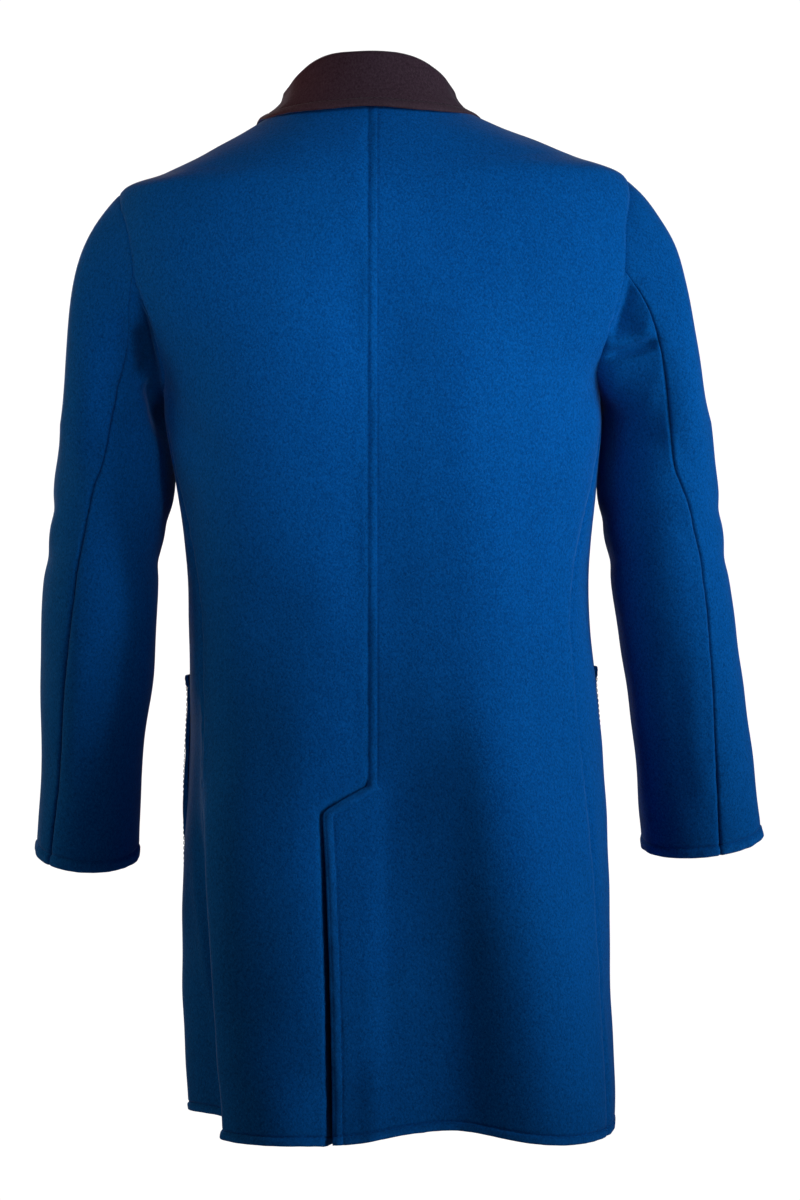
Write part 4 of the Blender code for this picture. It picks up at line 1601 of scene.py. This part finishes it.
@dataclass
class FrontPanel(BodyPanel):
    """One front, from the side to its free edge and the roll line."""

    part: ClassVar[str] = "front"
    closing: ClassVar[float] = 0.02

    def grid(self) -> PanelGrid:
        """The places that the panel is made of.

        Returns:
            The grid, from the side to the free edge.
        """
        form = self.coat.body
        levels = PanelRows().levels(form)
        start = self.lapped(levels, form.side_edge(levels, self.side, False), -self.side)
        end = form.angle_at_x(levels, self.side * form.front_edge(levels), True) % (2.0 * math.pi)
        if not self.left:
            end = end - 2.0 * math.pi
        return PanelGrid(form, levels, start, end, (SEAM, FREE), np.ones(len(levels)))

    def build(self) -> None:
        """Makes the panel and its stitches."""
        form, grid = self.coat.body, self.grid()
        raised = form.front_raise(grid.rows, self.side * grid.base[..., 0] + form.lap)
        closed = smooth((form.break_level - grid.rows) / self.closing)
        out = raised * (form.lift if self.left else -form.sink)
        out = out + self.drape.height(grid.base, grid.normals, grid.sewn)
        out = out + SEAM.relief(grid.near) + FREE.relief(grid.far) * closed + HEMMED.relief(grid.up)
        laid = grid.moved(out, 0.0)
        nap = np.maximum(HEMMED.brushed(grid.up), FREE.brushed(grid.far) * closed)
        hem, edge = HEMMED.column(), grid.up.shape[1] - 1 - FREE.column()
        last = int(np.searchsorted(grid.levels, form.break_level))
        line = Line(laid.points[hem:last, edge], laid.normals[hem:last, edge])
        self.hang(grid, laid, nap, [line])


@dataclass(frozen=True)
class SleeveForm:
    """The outer face of a sleeve, from the armhole, row -1, through its sections, from row 0."""

    body: BodyForm
    side: float
    hind: float = 84.0
    fore: float = -126.0
    top_slant: float = math.radians(50.0)
    foot_slant: float = math.radians(8.0)
    pull: float = 1.15
    flare: float = 0.12
    swing_left: float = 13.0
    swing_right: float = -5.0
    swing_peak: float = 27.0 / 4.0
    fullness: float = 0.0065
    full_level: float = -0.246
    full_height: float = 0.048
    full_width: float = 0.032
    full_inset: float = 0.004
    axis_step: float = 0.05
    leaving_step: float = 0.4

    @property
    def sections(self) -> tuple:
        """The sections of this arm."""
        return SLEEVE_LEFT if self.side > 0 else SLEEVE_RIGHT

    @property
    def last(self) -> float:
        """The row of the cuff's edge."""
        return len(self.sections) - 1.0

    @property
    def row_length(self) -> float:
        """The mean length of the arm from one section to the next."""
        return np.diff([section.z for section in self.sections]).sum() / -self.last

    def centre(self, row: Array) -> Array:
        """The middle of the arm at rows from 0, on the wearer's left."""
        return np.stack([along(self.sections, name, row) for name in "xyz"], axis=-1)

    def ring(self, row: Array, share: Array, under: bool, swing: Array) -> Array:
        """Points of the arm at rows from 0.

        Args:
            row: the rows.
            share: shares of the way from one seam to the other.
            under: True for the under sleeve.
            swing: degrees that the hind seam swings inwards.

        Returns:
            The points.
        """
        flip = np.array((self.side, 1.0, 1.0))
        ahead, behind = self.centre(row + self.axis_step), self.centre(row - self.axis_step)
        centre, axis = self.centre(row) * flip, unit((ahead - behind) * flip)
        out = unit(np.array((self.side, 0.0, 0.0)) - axis * (axis[..., :1] * self.side))
        back = np.array((0.0, 1.0, 0.0)) - axis * axis[..., 1:2]
        back = unit(back - out * np.sum(back * out, axis=-1, keepdims=True))
        columns = ("wide", "deep", "twist", "hind", "fore")
        wide, deep, twist, hind, fore = (
            along(self.sections, name, row)[..., None] for name in columns
        )
        t = np.radians(self.turn(share, under, hind[..., 0] + swing, fore[..., 0]))[..., None]
        c, s = np.cos(np.radians(twist)), np.sin(np.radians(twist))
        across, long = out * c - back * s, back * c + out * s
        return centre + across * wide * np.cos(t) + long * deep * np.sin(t)

    def turn(self, share: Array, under: bool, hind: Array, fore: Array) -> Array:
        """Degrees round the sleeve: the top sleeve from fore to hind, the under one from hind on."""
        start, end = (hind, fore + 360.0) if under else (fore, hind)
        return start + (end - start) * share

    def point(self, row: Array, share: Array, under: bool) -> Array:
        """Points of the sleeve at any row.

        Args:
            row: the rows, from -1.
            share: shares of the way from one seam to the other.
            under: True for the under sleeve.

        Returns:
            The points.
        """
        row, share = np.broadcast_arrays(np.asarray(row, float), np.asarray(share, float))
        zero = np.zeros_like(row)
        down = np.clip(row + 1.0, 0.0, 1.0)
        swing = self.swing_left if self.side > 0 else self.swing_right
        swing = swing * self.swing_peak * down * (1.0 - down) ** 2
        arm = self.ring(np.maximum(row, 0.0), share, under, zero)
        end = self.ring(zero, share, under, swing)
        after = self.ring(zero + self.leaving_step, share, under, swing)
        turn = self.turn(share, under, self.hind + swing, zero + self.fore)
        turn = (turn + 180.0) % 360.0 - 180.0
        first = self.body.point(self.body.armhole_level(turn), self.body.armhole_angle(turn, self.side))
        first = first - np.array((self.side * 0.5 * SEAM_LAP, 0.0, 0.0))
        high = 0.5 + 0.5 * np.cos(np.radians(turn))
        slant = self.foot_slant + (self.top_slant - self.foot_slant) * high
        reach = np.linalg.norm(end - first, axis=-1, keepdims=True)
        away = np.stack((self.side * np.sin(slant), zero, -np.cos(slant)), axis=-1) * reach * self.pull
        bulge = self.side * self.flare * np.cos(np.radians(turn))
        leaving = unit(after - end) + np.stack((bulge, zero, zero), axis=-1)
        cap = hermite(first, end, away, leaving * reach, down[..., None])
        return self.filled(np.where(row[..., None] < 0.0, cap, arm))

    def filled(self, points: Array) -> Array:
        """The sleeve with the fullness that bunches against the body under the arm.

        Args:
            points: points of the sleeve without it.

        Returns:
            The points moved.
        """
        inside = self.sections[0].x - self.full_inset - self.side * points[..., 0]
        push = self.fullness * hump(points[..., 2] - self.full_level, self.full_height)
        push = push * smooth(inside / self.full_width)
        return points - np.stack((self.side * push, 0.0 * push, 0.0 * push), axis=-1)


@dataclass
class SleevePart(SidedPiece):
    """The top sleeve or the under sleeve of one arm."""

    under: bool
    drape: Drape
    cut: Cut
    cap_rows: int = 45
    cap_edge: tuple = (-1.0, -0.997, -0.992, -0.984)
    cuff_gap: float = 0.03
    top_width: float = 0.19
    under_width: float = 0.10
    armhole_ease: float = 0.010
    # Painted shade in the deepest creases under the arm and along the hind seam.
    hollow_shade_depth: float = 0.015
    hollow_shade_share: float = 0.85
    seam_shade_width: float = 0.0010
    seam_shade_share: float = 0.8

    @property
    def name(self) -> str:
        """The node that the part stands for."""
        return self.beside("sleeve_under" if self.under else "sleeve_top")

    def rows(self, form: SleeveForm) -> Array:
        """Rows of the sleeve, close together at the armhole and the cuff.

        Args:
            form: the sleeve's form.

        Returns:
            The rows.
        """
        cap = np.concatenate((self.cap_edge, np.linspace(-1.0, 0.0, self.cap_rows)[1:-1]))
        cuff = form.last - np.array(HEMMED.marks())[::-1] / form.row_length
        arm = np.arange(0.0, cuff[0] - self.cuff_gap, PANEL_STEP / form.row_length)
        return np.concatenate((cap, arm, cuff))

    def build(self) -> None:
        """Makes the part and its stitches."""
        form = SleeveForm(self.coat.body, self.side)
        first, last = (SLEEVE_SEAM, SEAM) if self.under else (SEAM, SLEEVE_SEAM)
        rows = self.rows(form)
        past = SEAM_LAP / (self.under_width if self.under else self.top_width)
        shares = np.linspace(-past, 1.0 + past, SAMPLES)
        points = form.point(rows[:, None], shares[None], self.under)
        reach = reach_along(points, 1)
        near = spread(reach[:, -1], first, last, SLEEVE_STEP)
        far = reach[:, -1:] - near
        found = np.array([np.interp(p, r, shares) for p, r in zip(near, reach)])
        base = form.point(rows[:, None], found, self.under)
        down = reach_along(base, 0)
        up = np.broadcast_to(((form.last - rows) * form.row_length)[:, None], near.shape)
        other = form.point(rows[:, None], shares[None], not self.under)
        middle = base.mean(axis=1, keepdims=True) + other.mean(axis=1, keepdims=True)
        normals = grid_normals(base)
        sign = np.sign(np.sum(normals * (base - 0.5 * middle)))
        normals = normals * sign
        sewn = np.minimum(np.minimum(near, far), np.minimum(up, down))
        height = self.drape.height(base, normals, sewn) * smooth(down / self.armhole_ease)
        height = height + first.relief(near) + last.relief(far) + HEMMED.relief(up)
        height = height - SEAM.roll * hump(down, SEAM.reach)
        face = base + normals * height[..., None]
        normals = grid_normals(face) * sign
        rim = np.minimum(np.minimum(near, far), up)
        # Painted shade: the cloth is darkened in the deepest creases and along the hind seam, where shade
        # falls.
        hollow = smooth(-self.drape.hollows(base, normals) / self.hollow_shade_depth)
        seam = hump((near if self.under else far) - SEAM_LAP, self.seam_shade_width)
        painted_shade = np.maximum(self.hollow_shade_share * hollow, self.seam_shade_share * seam)
        sheet = Sheet(self.name, face, normals, rim, HEMMED.brushed(up) - painted_shade)
        hem = len(rows) - 1 - HEMMED.column()
        lines = [Line(face[hem], normals[hem])]
        self.coat.sew(sheet, lines, Cloth.OUTER, Held.HUNG, (self.beside("back"),), self.cut)


@dataclass(frozen=True)
class TurnedForm:
    """Rows of cloth that rise from a seam, turn over and lie back: the collar and the lapels."""

    body: BodyForm
    radius: float = 0.0032
    height: float = 0.0064
    back: float = 0.0018
    gap: float = 0.0014
    clear: float = 0.014
    lift: float = 0.0022
    sag: float = 0.0045
    arc_points: int = 13
    rise_points: int = 7
    leaf_steps: int = 14
    leaf_start: float = 0.08
    leaf_power: float = 0.9

    @property
    def leaf_shares(self) -> Array:
        """Shares of the way down a turned leaf, closer together at its edge."""
        shares = np.linspace(0.0, 1.0, self.leaf_steps + 1)[1:] ** self.leaf_power
        return shares * (1.0 - self.leaf_start) + self.leaf_start

    def turned(self, seam: Array, fold: Array, edge: Array) -> Array:
        """A path from a seam up to a fold and round it.

        Args:
            seam: where it starts.
            fold: the top of the fold.
            edge: where the turned leaf ends.

        Returns:
            Points up to the start of the leaf.
        """
        up = unit(fold - seam)
        out = unit((edge - seam) - up * np.dot(edge - seam, up))
        middle = fold - up * self.radius
        t = np.radians(np.linspace(180.0, 0.0, self.arc_points))[:, None]
        arc = middle + (out * np.cos(t) + up * np.sin(t)) * self.radius
        rise = np.linspace(0.0, 1.0, self.rise_points)[:-1, None]
        return np.concatenate((seam + (arc[0] - seam) * rise, arc))

    def front_leaf(self, leaf: Leaf, side: float) -> Array:
        """A row that turns at the front's edge and lies back over it.

        Args:
            leaf: the row.
            side: 1 on the wearer's left, -1 on the right.

        Returns:
            Points from the seam to the outer edge.
        """
        form, turn_level = self.body, np.array(leaf.level)
        edge = float(form.front_edge(turn_level))
        covered = side < 0 and edge < self.clear
        x_in = max(edge, self.clear - edge) if covered else edge

        def over(share: Array, out: float) -> Array:
            """Places over the front, from the turn outwards.

            Args:
                share: shares of the way from the turn to the outer edge.
                out: how far off the front they lie.

            Returns:
                The places.
            """
            share = np.asarray(share, float)
            level = leaf.level + leaf.fall * share
            x = x_in + (leaf.outer - x_in) * share
            lap = form.front_raise(level, x + form.lap) * (form.lift if side > 0 else -form.sink)
            return form.raised(level, form.angle_at_x(level, side * x, True), out + lap)

        rest = self.lift + 0.5 * WALL
        leaf_points = over(self.leaf_shares, rest)
        away = unit(over(0.2, 0.0) - over(0.0, 0.0))
        up = form.normal(turn_level, form.angle_at_x(turn_level, np.array(side * x_in), True))
        seam = over(0.0, rest if covered else -0.5 * WALL) - away * self.gap
        fold = seam + up * self.height - away * self.back
        return np.concatenate((self.turned(seam, fold, leaf_points[-1]), leaf_points))

    def back_leaf(self, station: Station, side: float) -> Array:
        """A row of the collar where its leaf falls free behind the neck.

        Args:
            station: the row.
            side: 1 on the wearer's left, -1 on the right.

        Returns:
            Points from the seam to the outer edge.
        """
        flip = np.array((side, 1.0, 1.0))
        seam, fold, edge = (np.array(p) * flip for p in station[:3])
        edge[2] -= station.left_fall if side > 0 else station.right_fall
        path = self.turned(seam, fold, edge)
        out = unit((edge - seam) * np.array((1.0, 1.0, 0.0)))
        share = self.leaf_shares[:, None]
        fall = path[-1] + (edge - path[-1]) * share - out * self.sag * 4.0 * share * (1.0 - share)
        return np.concatenate((path, fall))

    def blended(self, rows: Sequence[Array], steps: int) -> Array:
        """More rows between the given ones, each point on a smooth curve.

        Args:
            rows: the given rows.
            steps: rows from one given row to the next.

        Returns:
            All the rows.
        """
        last, made = len(rows) - 1, []
        for i in range(last):
            before, after = rows[max(0, i - 1)], rows[min(last, i + 2)]
            leave, arrive = (rows[i + 1] - before) * 0.5, (after - rows[i]) * 0.5
            for k in range(steps):
                made.append(hermite(rows[i], rows[i + 1], leave, arrive, k / steps))
        return np.array(made + [rows[-1]])


@dataclass
class TurnedPiece:
    """The collar or a lapel, showing the reverse of the cloth."""

    coat: Coat
    name: str
    rows: Array
    drape: Drape
    outward: tuple
    cut: Cut
    rests_on: tuple
    edge_ease: float = 0.01
    edge_start: float = 0.002
    edge_share: float = 0.4
    seam_ease: float = 0.02

    def build(self) -> None:
        """Makes the piece and its stitches."""
        reach = reach_along(self.rows, 1)
        near = spread(reach[:, -1], RAW, FREE, TURNED_STEP)
        far = reach[:, -1:] - near
        lined = zip(near, reach, self.rows)
        base = np.array([[np.interp(p, r, row[:, k]) for k in range(3)] for p, r, row in lined])
        base = np.moveaxis(base, 1, -1)
        normals = grid_normals(base)
        sign = np.sign(np.sum(normals[:, -4:] @ np.array(self.outward)))
        normals = normals * sign
        down = reach_along(base, 0)
        ends = np.minimum(down, down[-1:] - down)
        free = smooth((far - self.edge_start) / self.edge_ease)
        free = (free * (1.0 - self.edge_share) + self.edge_share) * smooth(near / self.seam_ease)
        height = self.drape.height(base, normals, np.minimum(far, ends)) * free + FREE.relief(far)
        face = base + normals * height[..., None]
        normals = grid_normals(face) * sign
        rim = np.minimum(np.minimum(near, far), ends)
        sheet = Sheet(self.name, face, normals, rim, FREE.brushed(far), True)
        column = face.shape[1] - 1 - FREE.column()
        place, facing = face[2:-2, column], normals[2:-2, column]
        lines = [Line(place + facing * (0.5 * WALL), facing)]
        self.coat.sew(sheet, lines, Cloth.REVERSE, Held.FOLDED, self.rests_on, self.cut)


@dataclass
class Pocket(SidedPiece):
    """A patch pocket with rounded lower corners, its mouth standing a little open."""

    part: ClassVar[str] = "pocket"
    cut: Cut
    top: float = -0.513
    foot: float = -0.716
    middle: float = -0.62
    back: float = math.radians(93.0)
    front: float = math.radians(147.0)
    seat: float = 0.0002
    gape: float = 0.0026
    gape_height: float = 0.020
    settle: float = 0.0022
    settle_height: float = 0.12
    left_drop: float = 0.008
    corner: float = 0.030
    inset: float = 0.0062
    mouth: float = 0.0115
    flat_edge: float = 0.01
    nap_share: float = 0.6

    @property
    def tall(self) -> float:
        """The pocket's height."""
        return self.top - self.foot

    def wide(self) -> float:
        """The pocket's width along the cloth, half way up."""
        angles = np.linspace(self.back, self.front, 41) * self.side
        return reach_along(self.coat.body.point(self.middle, angles), 0)[-1]

    def place(self, across: Array, rise: Array) -> tuple:
        """Where places of the pocket lie on the front.

        Args:
            across: shares of the way from its back edge to its front edge.
            rise: heights above its foot.

        Returns:
            Their levels, angles and distances off the front.
        """
        level = self.foot + rise - (self.left_drop if self.left else 0.0)
        angle = (self.back + (self.front - self.back) * across) * self.side
        gape = self.gape * smooth((rise - self.tall + self.gape_height) / self.gape_height)
        settled = self.settle * (1.0 - smooth(rise / self.settle_height))
        return level, angle, self.seat + gape - settled

    def from_edge(self, across: Array, rises: Array, wide: float) -> Array:
        """Distances from the sewn edge, round the lower corners too.

        Args:
            across: shares of the way across.
            rises: heights above the foot.
            wide: the pocket's width.

        Returns:
            The distance at each place.
        """
        x = np.abs(across - 0.5) * wide - (0.5 * wide - self.corner)
        y = np.maximum(self.corner - rises, 0.0) + 0.0 * x
        corner = self.corner - np.hypot(np.maximum(x, 0.0), y)
        straight = np.minimum(self.corner - x, rises + 0.0 * x)
        return np.maximum(np.where((x > 0) & (y > 0), corner, straight), 0.0)

    def build(self) -> None:
        """Makes the pocket and its stitches."""
        form, wide = self.coat.body, self.wide()
        rises = spread(np.array([self.tall]), RAW, FREE, POCKET_STEP)[0][:, None]
        square = np.maximum(self.corner**2 - np.maximum(self.corner - rises, 0.0) ** 2, 0.0)
        cut = self.corner - np.sqrt(square)
        columns = spread(np.array([wide]), RAW, RAW, POCKET_STEP)[0] / wide
        across = (cut + (wide - 2.0 * cut) * columns) / wide
        level, angle, seat = self.place(across, rises)
        inner = self.from_edge(across, rises, wide)
        below = np.broadcast_to(self.tall - rises, inner.shape)
        base = form.raised(level, angle, seat + WALL)
        normals = form.normal(level, angle)
        waves = Waves(0.05, 0.0005, 31).at(base) + Waves(0.012, 0.0002, 5).at(base)
        seam = Edge(roll=0.0024, reach=0.0035, welt=0.0002, stitch=self.inset)
        band = Edge(roll=0.0, welt=0.0004, stitch=self.mouth)
        height = waves * smooth(inner / self.flat_edge) + seam.relief(inner) + band.relief(below)
        face = base + normals * height[..., None]
        facing = grid_normals(face)
        facing = facing * np.sign(np.sum(facing * normals))
        rim = np.minimum(inner, below)
        sheet = Sheet(self.name, face, facing, rim, self.nap_share * seam.brushed(rim))
        front = self.beside("front")
        self.coat.sew(sheet, self.lines(wide), Cloth.OUTER, Held.HUNG, (front,), self.cut)

    def lines(self, wide: float) -> list[Line]:
        """The stitches round the sides and foot, and along the mouth.

        Args:
            wide: the pocket's width.

        Returns:
            A line for each.
        """
        tall, bend, ends = self.tall, self.corner - self.inset, 0.002
        t = np.radians(np.linspace(0.0, 90.0, 12))
        side = np.linspace(tall - 0.001, self.corner, 40)
        bottom = np.linspace(self.corner, wide - self.corner, 40)
        top = np.linspace(ends, wide - ends, 60)
        first = np.stack((np.full(len(side), self.inset), side), axis=1)
        turn = np.stack((self.corner - bend * np.cos(t), self.corner - bend * np.sin(t)), axis=1)
        foot = np.stack((bottom, np.full(len(bottom), self.inset)), axis=1)
        mirrored = np.concatenate((first, turn))[::-1] * np.array((-1.0, 1.0)) + np.array((wide, 0.0))
        outline = np.concatenate((first, turn, foot, mirrored))
        mouth = np.stack((top, np.full(len(top), tall - self.mouth)), axis=1)
        form, lines = self.coat.body, []
        for path in (outline, mouth):
            level, angle, seat = self.place(path[:, 0] / wide, path[:, 1])
            lines.append(Line(form.raised(level, angle, seat + WALL), form.normal(level, angle)))
        return lines


class Seat(NamedTuple):
    """Where a button sits: its middle, and the three directions of its own axes."""

    place: Array
    across: Array
    up: Array
    facing: Array


@dataclass
class Button:
    """A four-hole horn button, sewn on with thread."""

    coat: Coat
    name: str
    level: float
    radius: float = 0.0125
    height: float = 0.0040
    rim: float = 0.0024
    rim_slope: float = 0.0014
    rim_start: float = 0.0012
    dish: float = 0.0011
    bevel: float = 0.0004
    bevel_width: float = 0.0018
    round_over: float = 0.0010
    hole: float = 0.0011
    hole_depth: float = 0.0022
    hole_slope: float = 0.0004
    spread: float = 0.0021
    seat: float = 0.0007
    centre: float = 0.0002
    face_radius: float = 0.0058
    outer_radius: float = 0.0062
    sides: int = 96
    strand_gap: float = 0.00035
    strand_sunk: float = 0.0013
    strand_arch: float = 0.0010

    def top(self, radii: Array, x: Array, y: Array) -> Array:
        """Heights of the dished face with its four holes.

        Args:
            radii: distances of the rings from the middle.
            x: places across.
            y: places up.

        Returns:
            The height at each place.
        """
        rise = smooth((radii - self.radius + self.rim + self.rim_start) / self.rim_slope)
        top = self.height - self.dish * (1.0 - rise)
        top = top - self.bevel * smooth((radii - self.radius + self.bevel_width) / self.rim_slope)
        top = np.broadcast_to(top[:, None], x.shape).copy()
        for hx, hy in ((1, 1), (1, -1), (-1, 1), (-1, -1)):
            away = np.hypot(x - hx * self.spread, y - hy * self.spread)
            outside = smooth((away - self.hole + 0.5 * self.hole_slope) / self.hole_slope)
            top -= self.hole_depth * (1.0 - outside)
        return top

    def sit(self) -> Seat:
        """Where the button sits on the left front.

        Returns:
            Its seat.
        """
        form = self.coat.body
        level, angle = np.array(self.level), np.array(math.pi - 1e-6)
        facing = form.normal(level, angle)
        across = unit(np.array((1.0, 0.0, 0.0)) - facing * facing[0])
        place = form.raised(level, angle, form.lift + self.seat)
        return Seat(place, across, np.cross(facing, across), facing)

    def build(self) -> None:
        """Makes the button and its thread."""
        seat, soft = self.sit(), self.round_over
        face = np.linspace(self.centre, self.face_radius, 34)
        rim = np.linspace(self.outer_radius, self.radius - 0.6 * soft, 18)
        radii = np.concatenate((face, rim))
        turn = np.arange(self.sides) * 2.0 * math.pi / self.sides
        x, y = radii[:, None] * np.cos(turn), radii[:, None] * np.sin(turn)
        top = self.top(radii, x, y)
        flank = [(self.radius, self.height - soft), (self.radius, soft)]
        flank += [(self.radius - soft, 0.0), (self.centre, 0.0)]
        x = np.concatenate((x, [r * np.cos(turn) for r, _ in flank]))[..., None]
        y = np.concatenate((y, [r * np.sin(turn) for r, _ in flank]))[..., None]
        z = np.concatenate((top, [np.full(self.sides, h) for _, h in flank]))[..., None]
        points = (seat.place + x * seat.across + y * seat.up + z * seat.facing).reshape(-1, 3)
        faces = quads(len(x), self.sides, True)
        node = "button_" + self.name
        made = mesh_object(node, points, faces, np.zeros(len(faces)), (self.coat.finishes.horn,))
        made.data.flip_normals()
        self.coat.hand_over(made, node, "button")
        self.thread(seat)

    def thread(self, seat: Seat) -> None:
        """Adds the strands of thread from hole to hole.

        Args:
            seat: where the button sits.
        """
        t = np.linspace(0.0, 1.0, 15)
        x = ((t * 2.0 - 1.0) * self.spread)[:, None]
        z = (self.height - self.strand_sunk + self.strand_arch * np.sin(math.pi * t))[:, None]
        lines = []
        for shift in (-self.strand_gap, 0.0, self.strand_gap):
            for row in (-1.0, 1.0):
                y = row * self.spread + shift
                path = seat.place + x * seat.across + y * seat.up + z * seat.facing
                lines.append(Line(path, np.broadcast_to(seat.facing, path.shape)))
        strands = Stitching(length=0.0041, gap=0.00002, thick=0.00026, high=0.0, sunk=0.0004)
        made = strands.build("button_thread_" + self.name, lines, self.coat.finishes.blue_thread)
        self.coat.add(made, "button")


class Lamp(NamedTuple):
    """A soft square lamp: where it stands and points, its side, watts, beam in degrees and tint."""

    name: str
    place: tuple
    aim: tuple
    size: float
    power: float
    beam: float
    tint: tuple = (1.0, 1.0, 1.0)


LAMPS = (
    Lamp("key", (-1.92, 0.74, -0.12), (-0.1, 0.05, -0.26), 0.8, 3.9, 60.0, (0.85, 1.0, 1.0)),
    Lamp("beam", (-0.9, 1.9, -0.2), (-0.08, 0.1, -0.25), 0.4, 0.3, 22.0),
    Lamp("left_beam", (0.3, 2.2, 0.25), (0.06, 0.1, -0.13), 0.3, 0.1, 16.0),
    Lamp("skirt_beam", (-1.86, 1.02, -0.62), (0.02, 0.1, -0.75), 0.3, 0.085, 15.0),
    Lamp("fill", (1.5, 1.2, -0.1), (0.1, 0.1, -0.25), 0.8, 0.4, 70.0),
    Lamp("edge", (1.6, -0.1, -0.05), (0.25, 0.0, -0.3), 0.9, 3.2, 80.0, (1.0, 0.52, 0.3)),
    Lamp("front", (0.9, -2.0, 0.2), (0.0, -0.1, -0.35), 1.0, 5.0, 90.0),
)


@dataclass(frozen=True)
class Studio:
    """Floor, light and camera."""

    floor_level: float = -1.300
    floor_half: tuple = (1.5, 1.15)
    floor_colour: tuple = (0.82, 0.82, 0.81)
    seen: float = 1.05
    cast: float = 0.040
    camera_place: tuple = (-0.0279, 2.6, -0.451)
    sensor: float = 36.0
    view_width: float = 1.116

    def build(self) -> None:
        """Sets up everything that isn't the coat."""
        self.floor()
        self.world()
        for lamp in LAMPS:
            self.light(lamp)
        self.camera()

    def floor(self) -> None:
        """A plain pale floor below the hem."""
        (x, y), z = self.floor_half, self.floor_level
        points = np.array(((-x, -y, z), (x, -y, z), (x, y, z), (-x, y, z)))
        finish = FloorFinish("pale_floor", self.floor_colour).material()
        mesh_object("floor", points, np.array(((0, 1, 2, 3),)), np.zeros(1), (finish,))

    def world(self) -> None:
        """Even white surroundings, softer as light than as background."""
        graph = Graph(bpy.data.worlds.new("surroundings"))
        cast, seen = (
            graph.wire("ShaderNodeBackground", 0, None, {"Color": (1.0, 1.0, 1.0, 1.0), "Strength": s})
            for s in (self.cast, self.seen)
        )
        bpy.context.scene.world = graph.end(graph.chosen(cast, seen), "ShaderNodeOutputWorld")

    def light(self, lamp: Lamp) -> None:
        """Adds a lamp.

        Args:
            lamp: its place, aim and light.
        """
        data = bpy.data.lights.new(lamp.name, "AREA")
        data.size, data.energy, data.color = lamp.size, lamp.power, lamp.tint
        data.spread = math.radians(lamp.beam)
        made = bpy.data.objects.new(lamp.name, data)
        made.location = lamp.place
        way = np.array(lamp.aim) - np.array(lamp.place)
        flat = math.hypot(way[0], way[1])
        made.rotation_euler = (math.atan2(flat, -way[2]), 0.0, math.atan2(-way[0], way[1]))
        bpy.context.scene.collection.objects.link(made)

    def camera(self) -> None:
        """A level camera behind the coat."""
        data = bpy.data.cameras.new("camera")
        data.sensor_width = self.sensor
        data.lens = self.sensor * self.camera_place[1] / self.view_width
        made = bpy.data.objects.new("camera", data)
        made.location = self.camera_place
        made.rotation_euler = (math.radians(90.0), 0.0, math.radians(180.0))
        bpy.context.scene.collection.objects.link(made)
        bpy.context.scene.camera = made
        bpy.context.scene.view_settings.view_transform = "Standard"


def turned_pieces(coat: Coat) -> list[TurnedPiece]:
    """The collar and both lapels.

    Args:
        coat: the coat that they belong to.

    Returns:
        The collar, the left lapel and the right one.
    """
    form = TurnedForm(coat.body)
    rows = [form.front_leaf(leaf, 1.0) for leaf in reversed(COLLAR_FRONT)]
    rows += [form.back_leaf(station, 1.0) for station in reversed(COLLAR_BACK)]
    rows += [form.back_leaf(station, -1.0) for station in COLLAR_BACK[1:]]
    rows += [form.front_leaf(leaf, -1.0) for leaf in COLLAR_FRONT]
    small = Drape((), Waves(0.07, 0.0007, 4), Waves(0.025, 0.0003, 9), Waves(0.012, 0.0003, 22))
    necks = ("back_left", "back_right", "front_left", "front_right")
    up, ahead = (0.0, 0.3, 1.0), (0.0, -1.0, 0.0)
    cut, lapel_cut = Cut((0.52, 0.10), 0.034), Cut((0.12, 0.30), 0.019)
    made = [TurnedPiece(coat, "collar", form.blended(rows, 14), small, up, cut, necks)]
    for side, name in ((1.0, "left"), (-1.0, "right")):
        edges = [float(coat.body.front_edge(np.array(leaf.level))) for leaf in LAPEL]
        shown = [leaf for leaf, edge in zip(LAPEL, edges) if side > 0 or leaf.outer > form.clear - edge]
        lapel = form.blended([form.front_leaf(leaf, side) for leaf in shown], 16)
        front = ("front_" + name,)
        made.append(TurnedPiece(coat, "lapel_" + name, lapel, small, ahead, lapel_cut, front))
    return made


def main() -> None:
    """Builds the coat and the studio, and logs each piece."""
    logging.basicConfig(level=logging.INFO, format="%(message)s")
    coat = Coat(Wardrobe())
    body, arm = Drape(BODY_CREASES), Drape(SLEEVE_CREASES)
    pieces = [
        BackPanel(coat, True, body, Cut((0.26, 1.00), 0.186)),
        BackPanel(coat, False, body, Cut((0.32, 1.00), 0.224)),
        FrontPanel(coat, True, body, Cut((0.36, 1.00), 0.276)),
        FrontPanel(coat, False, body, Cut((0.38, 1.00), 0.303)),
        SleevePart(coat, True, False, arm, Cut((0.25, 0.64), 0.115)),
        SleevePart(coat, False, False, arm, Cut((0.26, 0.64), 0.118)),
        SleevePart(coat, True, True, arm, Cut((0.19, 0.53), 0.077)),
        SleevePart(coat, False, True, arm, Cut((0.19, 0.53), 0.074)),
        *turned_pieces(coat),
        Pocket(coat, True, Cut((0.17, 0.205), 0.033)),
        Pocket(coat, False, Cut((0.20, 0.205), 0.039)),
        Button(coat, "top", -0.385),
        Button(coat, "middle", -0.500),
        Button(coat, "bottom", -0.615),
    ]
    for piece in pieces:
        piece.build()
        LOG.info("%s %s is built", type(piece).__name__, piece.name)
    Studio().build()


if __name__ == "__main__":
    main()
